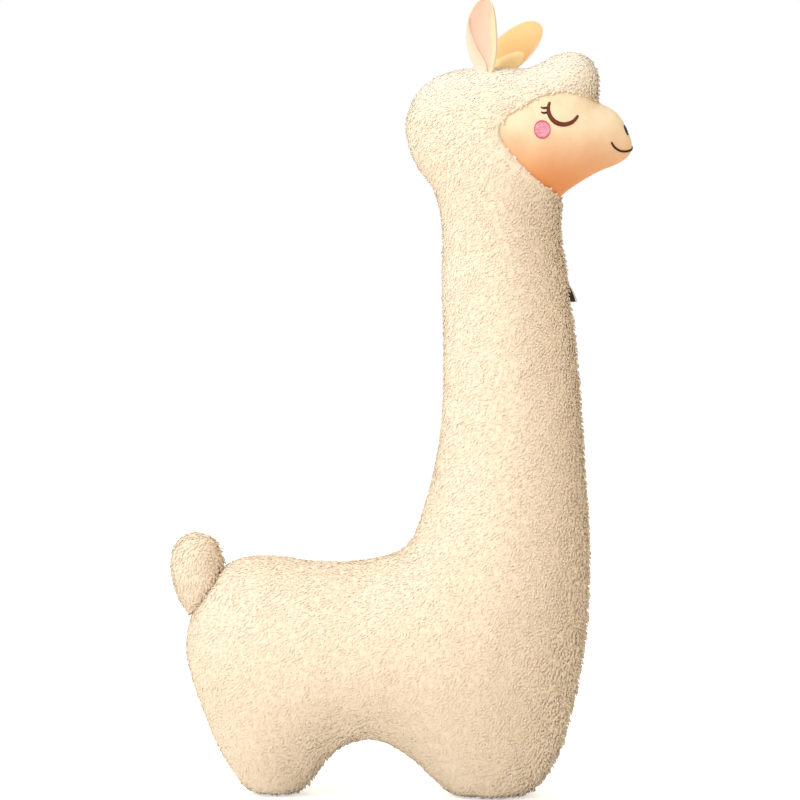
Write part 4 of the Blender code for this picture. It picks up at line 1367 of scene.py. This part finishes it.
TAPE_STEPS = 17
TAPE_ROWS = 12
TAPE_SUNK = 0.0035
TAPE_ASIDE = 0.0004
TAPE_BOW = 0.0012
TAPE_TURN = (math.radians(82), math.radians(12))


def tape_depth(label):
    """How far each point of the tape's section lies behind its fold."""
    depth = label.reach * np.linspace(1, 0, TAPE_STEPS)
    return np.concatenate([depth, [0], depth[::-1]])


def tape_line(label, drop):
    """The tape's folded section at a share of its height, out of the seam and back into it."""
    turn = TAPE_TURN[0] + (TAPE_TURN[1] - TAPE_TURN[0]) * drop
    ahead = np.array([math.cos(turn), math.sin(turn)])
    over = np.array([-ahead[1], ahead[0]])
    run = np.linspace(0, 1, TAPE_STEPS)
    curve = ahead * (run * label.reach)[:, None] + over * (TAPE_BOW * np.sin(run * math.pi))[:, None]
    fold = curve[-1] + ahead * label.gap * 0.5 + over * label.gap * 0.5
    return np.vstack([curve, fold, curve[::-1] + over * label.gap])


# Operators

class PLUSH_OT_stuffing(Operator):
    """Give the hidden fillings their fibre finish"""

    bl_idname = "plush.stuffing"
    bl_label = "Finish stuffing"

    def execute(self, context):
        for node in ("body_filling", "tail_filling"):
            mesh = even_skin(curved_skin(node, FIBRE_STEPS), FIBRE_GRAIN, FIBRE_ROUNDS)
            move_points(mesh, mesh_points(mesh) - mesh_normals(mesh) * FIBRE_DEPTH)
            fibre = add_piece(f"{node}_fibre", mesh, fibre_material(), [node])
        return {"FINISHED"}


class PLUSH_OT_face(Operator):
    """Sew the velour face, with its middle seam and its edge tucked under the fleece"""

    bl_idname = "plush.face"
    bl_label = "Sew face"

    def execute(self, context):
        settings = context.scene.plush_face
        points = mesh_points(body_form())
        depth = inside_face(points)
        seam = fade(points[:, 1], settings.seam_width) * settings.seam_depth
        edge = fade(np.maximum(depth, 0), EDGE_SLOPE) * EDGE_DIP
        gathers = ripples(points, settings.pucker_width, "gathers") * settings.pucker
        gathered = np.exp(-np.maximum(depth - GATHER_START, 0) / GATHER_REACH)
        lift = settings.cloth - seam - edge + gathers * gathered
        for name, side in SIDES.items():
            panel = cloth_panel(f"face_velour_{name}", side, lift,
                                lambda centres: inside_face(centres) > -settings.tuck,
                                velour_material(), [f"face_panel_{name}"],
                                settings.cloth, fine=1)
        return {"FINISHED"}


class PLUSH_OT_embroidery(Operator):
    """Stitch the lids, lashes, cheeks, nostrils and smile on the face"""

    bl_idname = "plush.embroidery"
    bl_label = "Stitch face"

    def execute(self, context):
        stitch = context.scene.plush_stitch
        for name, side in SIDES.items():
            cloth = FaceCloth(side)
            embroider_eye(name, cloth, stitch)
            embroider_cheek(name, cloth, stitch)
            embroider_muzzle(name, cloth, stitch)
        return {"FINISHED"}


class PLUSH_OT_fleece(Operator):
    """Lay the knitted ground on the body and grow its curls"""

    bl_idname = "plush.fleece"
    bl_label = "Lay fleece"

    def execute(self, context):
        settings = context.scene.plush_fleece
        points = mesh_points(body_form())
        groove = fade(points[:, 1], GROOVE_WIDTH) * GROOVE_DEPTH
        drop = fade(inside_face(points), settings.edge_slope) * settings.edge_drop
        lift = settings.ground_lift - groove - drop
        for name, side in SIDES.items():
            ground = cloth_panel(f"fleece_ground_{name}", side, lift,
                                 lambda centres: inside_face(centres) < 0.001, ground_material(),
                                 [f"fleece_panel_{name}"], settings.ground_cloth,
                                 hemmed=True)
        grow_fleece(("rump", "flank", "shoulder", "neck", "head"), body_form(), lift - CURL_SINK,
                    lambda roots: (inside_face(roots) < -CURL_SINK) & ~under_label(roots),
                    body_pull, settings)
        return {"FINISHED"}


class PLUSH_OT_tail(Operator):
    """Cover the tail's pouch with ground and curls"""

    bl_idname = "plush.tail"
    bl_label = "Cover tail"

    def execute(self, context):
        settings = context.scene.plush_fleece
        mesh = tail_form()
        lift = settings.ground_lift * TAIL_LIFT
        ground = mesh.copy()
        move_points(ground, mesh_points(mesh) + mesh_normals(mesh) * lift)
        ground.shade_smooth()
        piece = add_piece("tail_ground", ground, ground_material(),
                          ["tail_fleece_left", "tail_fleece_right"])
        grow_fleece(["tail"], mesh, lift, lambda roots: roots[:, 2] > 0, tail_pull, settings)
        return {"FINISHED"}


class PLUSH_OT_ears(Operator):
    """Sew both ears, each an outside, a lining, a rolled hem and the folds at its foot"""

    bl_idname = "plush.ears"
    bl_label = "Sew ears"

    def execute(self, context):
        ears = context.scene.plush_ears
        outside = ear_material("ear_outside", tuple(ears.outer_colour))
        inside = ear_material("ear_lining", tuple(ears.lining_colour))
        # Pale hem cloth, also the painted light on the right ear's back crease.
        pale = ear_material("ear_hem", tuple(ears.hem_and_lit_fold_colour))
        edge = 1 - ears.hem * 0.8 / ears.width
        for name, side in SIDES.items():
            mesh = ear_layer("outside", ears, side, 0.0, ((0, -1),), ((0, 1),))
            outer = add_piece(f"ear_outside_{name}", mesh, outside, [f"ear_outer_{name}"])
            lift = ears.cloth + LAYER_GAP
            mesh = ear_layer("lining", ears, side, lift, ((0, -edge),), ((0, edge),), top=0.985)
            lining = add_piece(f"ear_inside_{name}", mesh, inside, [f"ear_lining_{name}"])
            folds = sew_folds(ears, side, pale)
            for sheet in (outer, lining, *folds):
                thicken(sheet, ears.cloth)
            hem = add_piece(f"ear_hem_{name}", rolled_hem("hem", ears, side), pale)
        return {"FINISHED"}


class PLUSH_OT_label(Operator):
    """Fold the bare tape label out of the neck's front seam"""

    bl_idname = "plush.label"
    bl_label = "Sew label"

    def execute(self, context):
        label = context.scene.plush_label
        low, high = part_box("sewn_label")
        rows = []
        for drop in np.linspace(0, 1, TAPE_ROWS):
            line = tape_line(label, drop) + (low.x - TAPE_SUNK, TAPE_ASIDE)
            level = high.z + (low.z - high.z) * drop
            rows.append(np.column_stack([line, np.full(len(line), level)]))
        points = np.array(rows)
        mesh = triangle_mesh("tape", points.reshape(-1, 3), grid_triangles(*points.shape[:2]))
        # White along the fold; the rest of the tape takes the painted shadow.
        pale = 1 - smooth_step(tape_depth(label), label.edge * 0.8, label.edge)
        write_values(mesh, "fold", np.tile(pale, TAPE_ROWS))
        tape = add_piece("label_tape", mesh, tape_material(), ["sewn_label"])
        thicken(tape, label.cloth)
        return {"FINISHED"}


class PLUSH_OT_stage(Operator):
    """Set the pale floor, the soft lamps and the camera"""

    bl_idname = "plush.stage"
    bl_label = "Set stage"

    def execute(self, context):
        scene = context.scene
        stage = scene.plush_stage
        scene.view_settings.view_transform = "Standard"
        make_floor(stage)
        make_room(scene, stage)
        for name, place, aim, size in LAMPS:
            power, colour = getattr(stage, f"{name}_power"), getattr(stage, f"{name}_colour")
            make_lamp(f"{name}_lamp", place, aim, size, power, colour)
        make_camera(scene, stage)
        return {"FINISHED"}


# Each lamp's name, its place, the point that it faces and its size.
LAMPS = (("key", (-2.4, -2.9, 4.2), (0, 0, 0.55), 4.0),
         ("fill", (2.3, -2.0, 1.0), (0, 0, 0.45), 1.8),
         ("back", (-0.9, 2.6, 1.9), (0, 0, 0.50), 2.2))
FLOOR_SIZE = 14
FILM_WIDTH = 36


def seen_directly(tree):
    """An output of 1 for what the camera sees, itself, in a gloss or through glass, and else of 0."""
    path = add_node(tree, "ShaderNodeLightPath").outputs
    seen = calculate(tree, "MAXIMUM", path["Is Camera Ray"], path["Is Glossy Ray"])
    return calculate(tree, "MAXIMUM", seen, path["Is Transmission Ray"])


def make_floor(stage):
    """A broad pale floor that keeps the plush's shadow."""
    bpy.ops.mesh.primitive_plane_add(size=FLOOR_SIZE)
    floor = bpy.context.active_object
    floor.name = "floor"
    material = bpy.data.materials.new("pale_floor")
    material.use_nodes = True
    tree = material.node_tree
    shader = tree.nodes["Principled BSDF"]
    shader.inputs["Roughness"].default_value = 0.9
    dye(tree, shader, (*stage.floor_colour, 1), deeper(stage.floor_colour, 0.97), scale=3.0, amount=0.5)
    shader.inputs["Emission Color"].default_value = (1, 1, 1, 1)
    lift = calculate(tree, "MULTIPLY", seen_directly(tree), stage.floor_glow)
    tree.links.new(lift, shader.inputs["Emission Strength"])
    floor.data.materials.append(material)


def make_room(scene, stage):
    """Even light from all round, which the camera sees as a white backdrop."""
    world = bpy.data.worlds.new("room")
    scene.world = world
    world.use_nodes = True
    tree = world.node_tree
    background = tree.nodes["Background"]
    seen = seen_directly(tree)
    strength = add_node(tree, "ShaderNodeMix", {2: stage.room_strength, 3: 1.0}, {"Factor": seen},
                        data_type="FLOAT")
    tree.links.new(blend(tree, stage.room_colour, (1, 1, 1), seen), background.inputs["Color"])
    tree.links.new(strength.outputs[0], background.inputs["Strength"])


def make_lamp(name, place, aim, size, power, colour):
    """A soft square lamp turned towards a point."""
    lamp = bpy.data.lights.new(name, "AREA")
    lamp.size = size
    lamp.energy = power
    lamp.color = colour
    holder = bpy.data.objects.new(name, lamp)
    bpy.context.scene.collection.objects.link(holder)
    holder.location = place
    holder.rotation_euler = (Vector(aim) - Vector(place)).to_track_quat("-Z", "Y").to_euler()


def make_camera(scene, stage):
    """A level camera that sees the plush from its right side, a little towards the front."""
    lens = bpy.data.cameras.new("camera")
    lens.sensor_width = FILM_WIDTH
    lens.lens = FILM_WIDTH * stage.distance / stage.view_height
    holder = bpy.data.objects.new("camera", lens)
    scene.collection.objects.link(holder)
    aim = Vector((stage.aim_x, 0, stage.aim_z))
    back = Vector((math.sin(stage.azimuth), -math.cos(stage.azimuth), 0)) * stage.distance
    back.z = stage.eye_height - stage.aim_z
    holder.location = aim + back
    holder.rotation_euler = (-back).to_track_quat("-Z", "Y").to_euler()
    scene.camera = holder


class PLUSH_PT_panel(Panel):
    """Steps that dress the plush, in order"""

    bl_idname = "PLUSH_PT_panel"
    bl_label = "Plush alpaca"
    bl_space_type = "VIEW_3D"
    bl_region_type = "UI"
    bl_category = "Plush"

    def draw(self, context):
        for step in STEPS:
            self.layout.operator(step.bl_idname)


STEPS = (PLUSH_OT_stuffing, PLUSH_OT_face, PLUSH_OT_embroidery, PLUSH_OT_fleece, PLUSH_OT_tail,
         PLUSH_OT_ears, PLUSH_OT_label, PLUSH_OT_stage)


def register():
    """Register the settings, the steps and the panel."""
    for name, group in GROUPS.items():
        bpy.utils.register_class(group)
        setattr(bpy.types.Scene, name, PointerProperty(type=group))
    for step in (*STEPS, PLUSH_PT_panel):
        bpy.utils.register_class(step)


def unregister():
    """Remove what register added."""
    for step in (*STEPS, PLUSH_PT_panel):
        bpy.utils.unregister_class(step)
    for name, group in GROUPS.items():
        delattr(bpy.types.Scene, name)
        bpy.utils.unregister_class(group)


def main():
    """Dress the plush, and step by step."""
    register()
    bpy.ops.plush.stuffing()
    bpy.ops.plush.face()
    bpy.ops.plush.embroidery()
    bpy.ops.plush.fleece()
    bpy.ops.plush.tail()
    bpy.ops.plush.ears()
    bpy.ops.plush.label()
    bpy.ops.plush.stage()


if __name__ == "__main__":
    main()
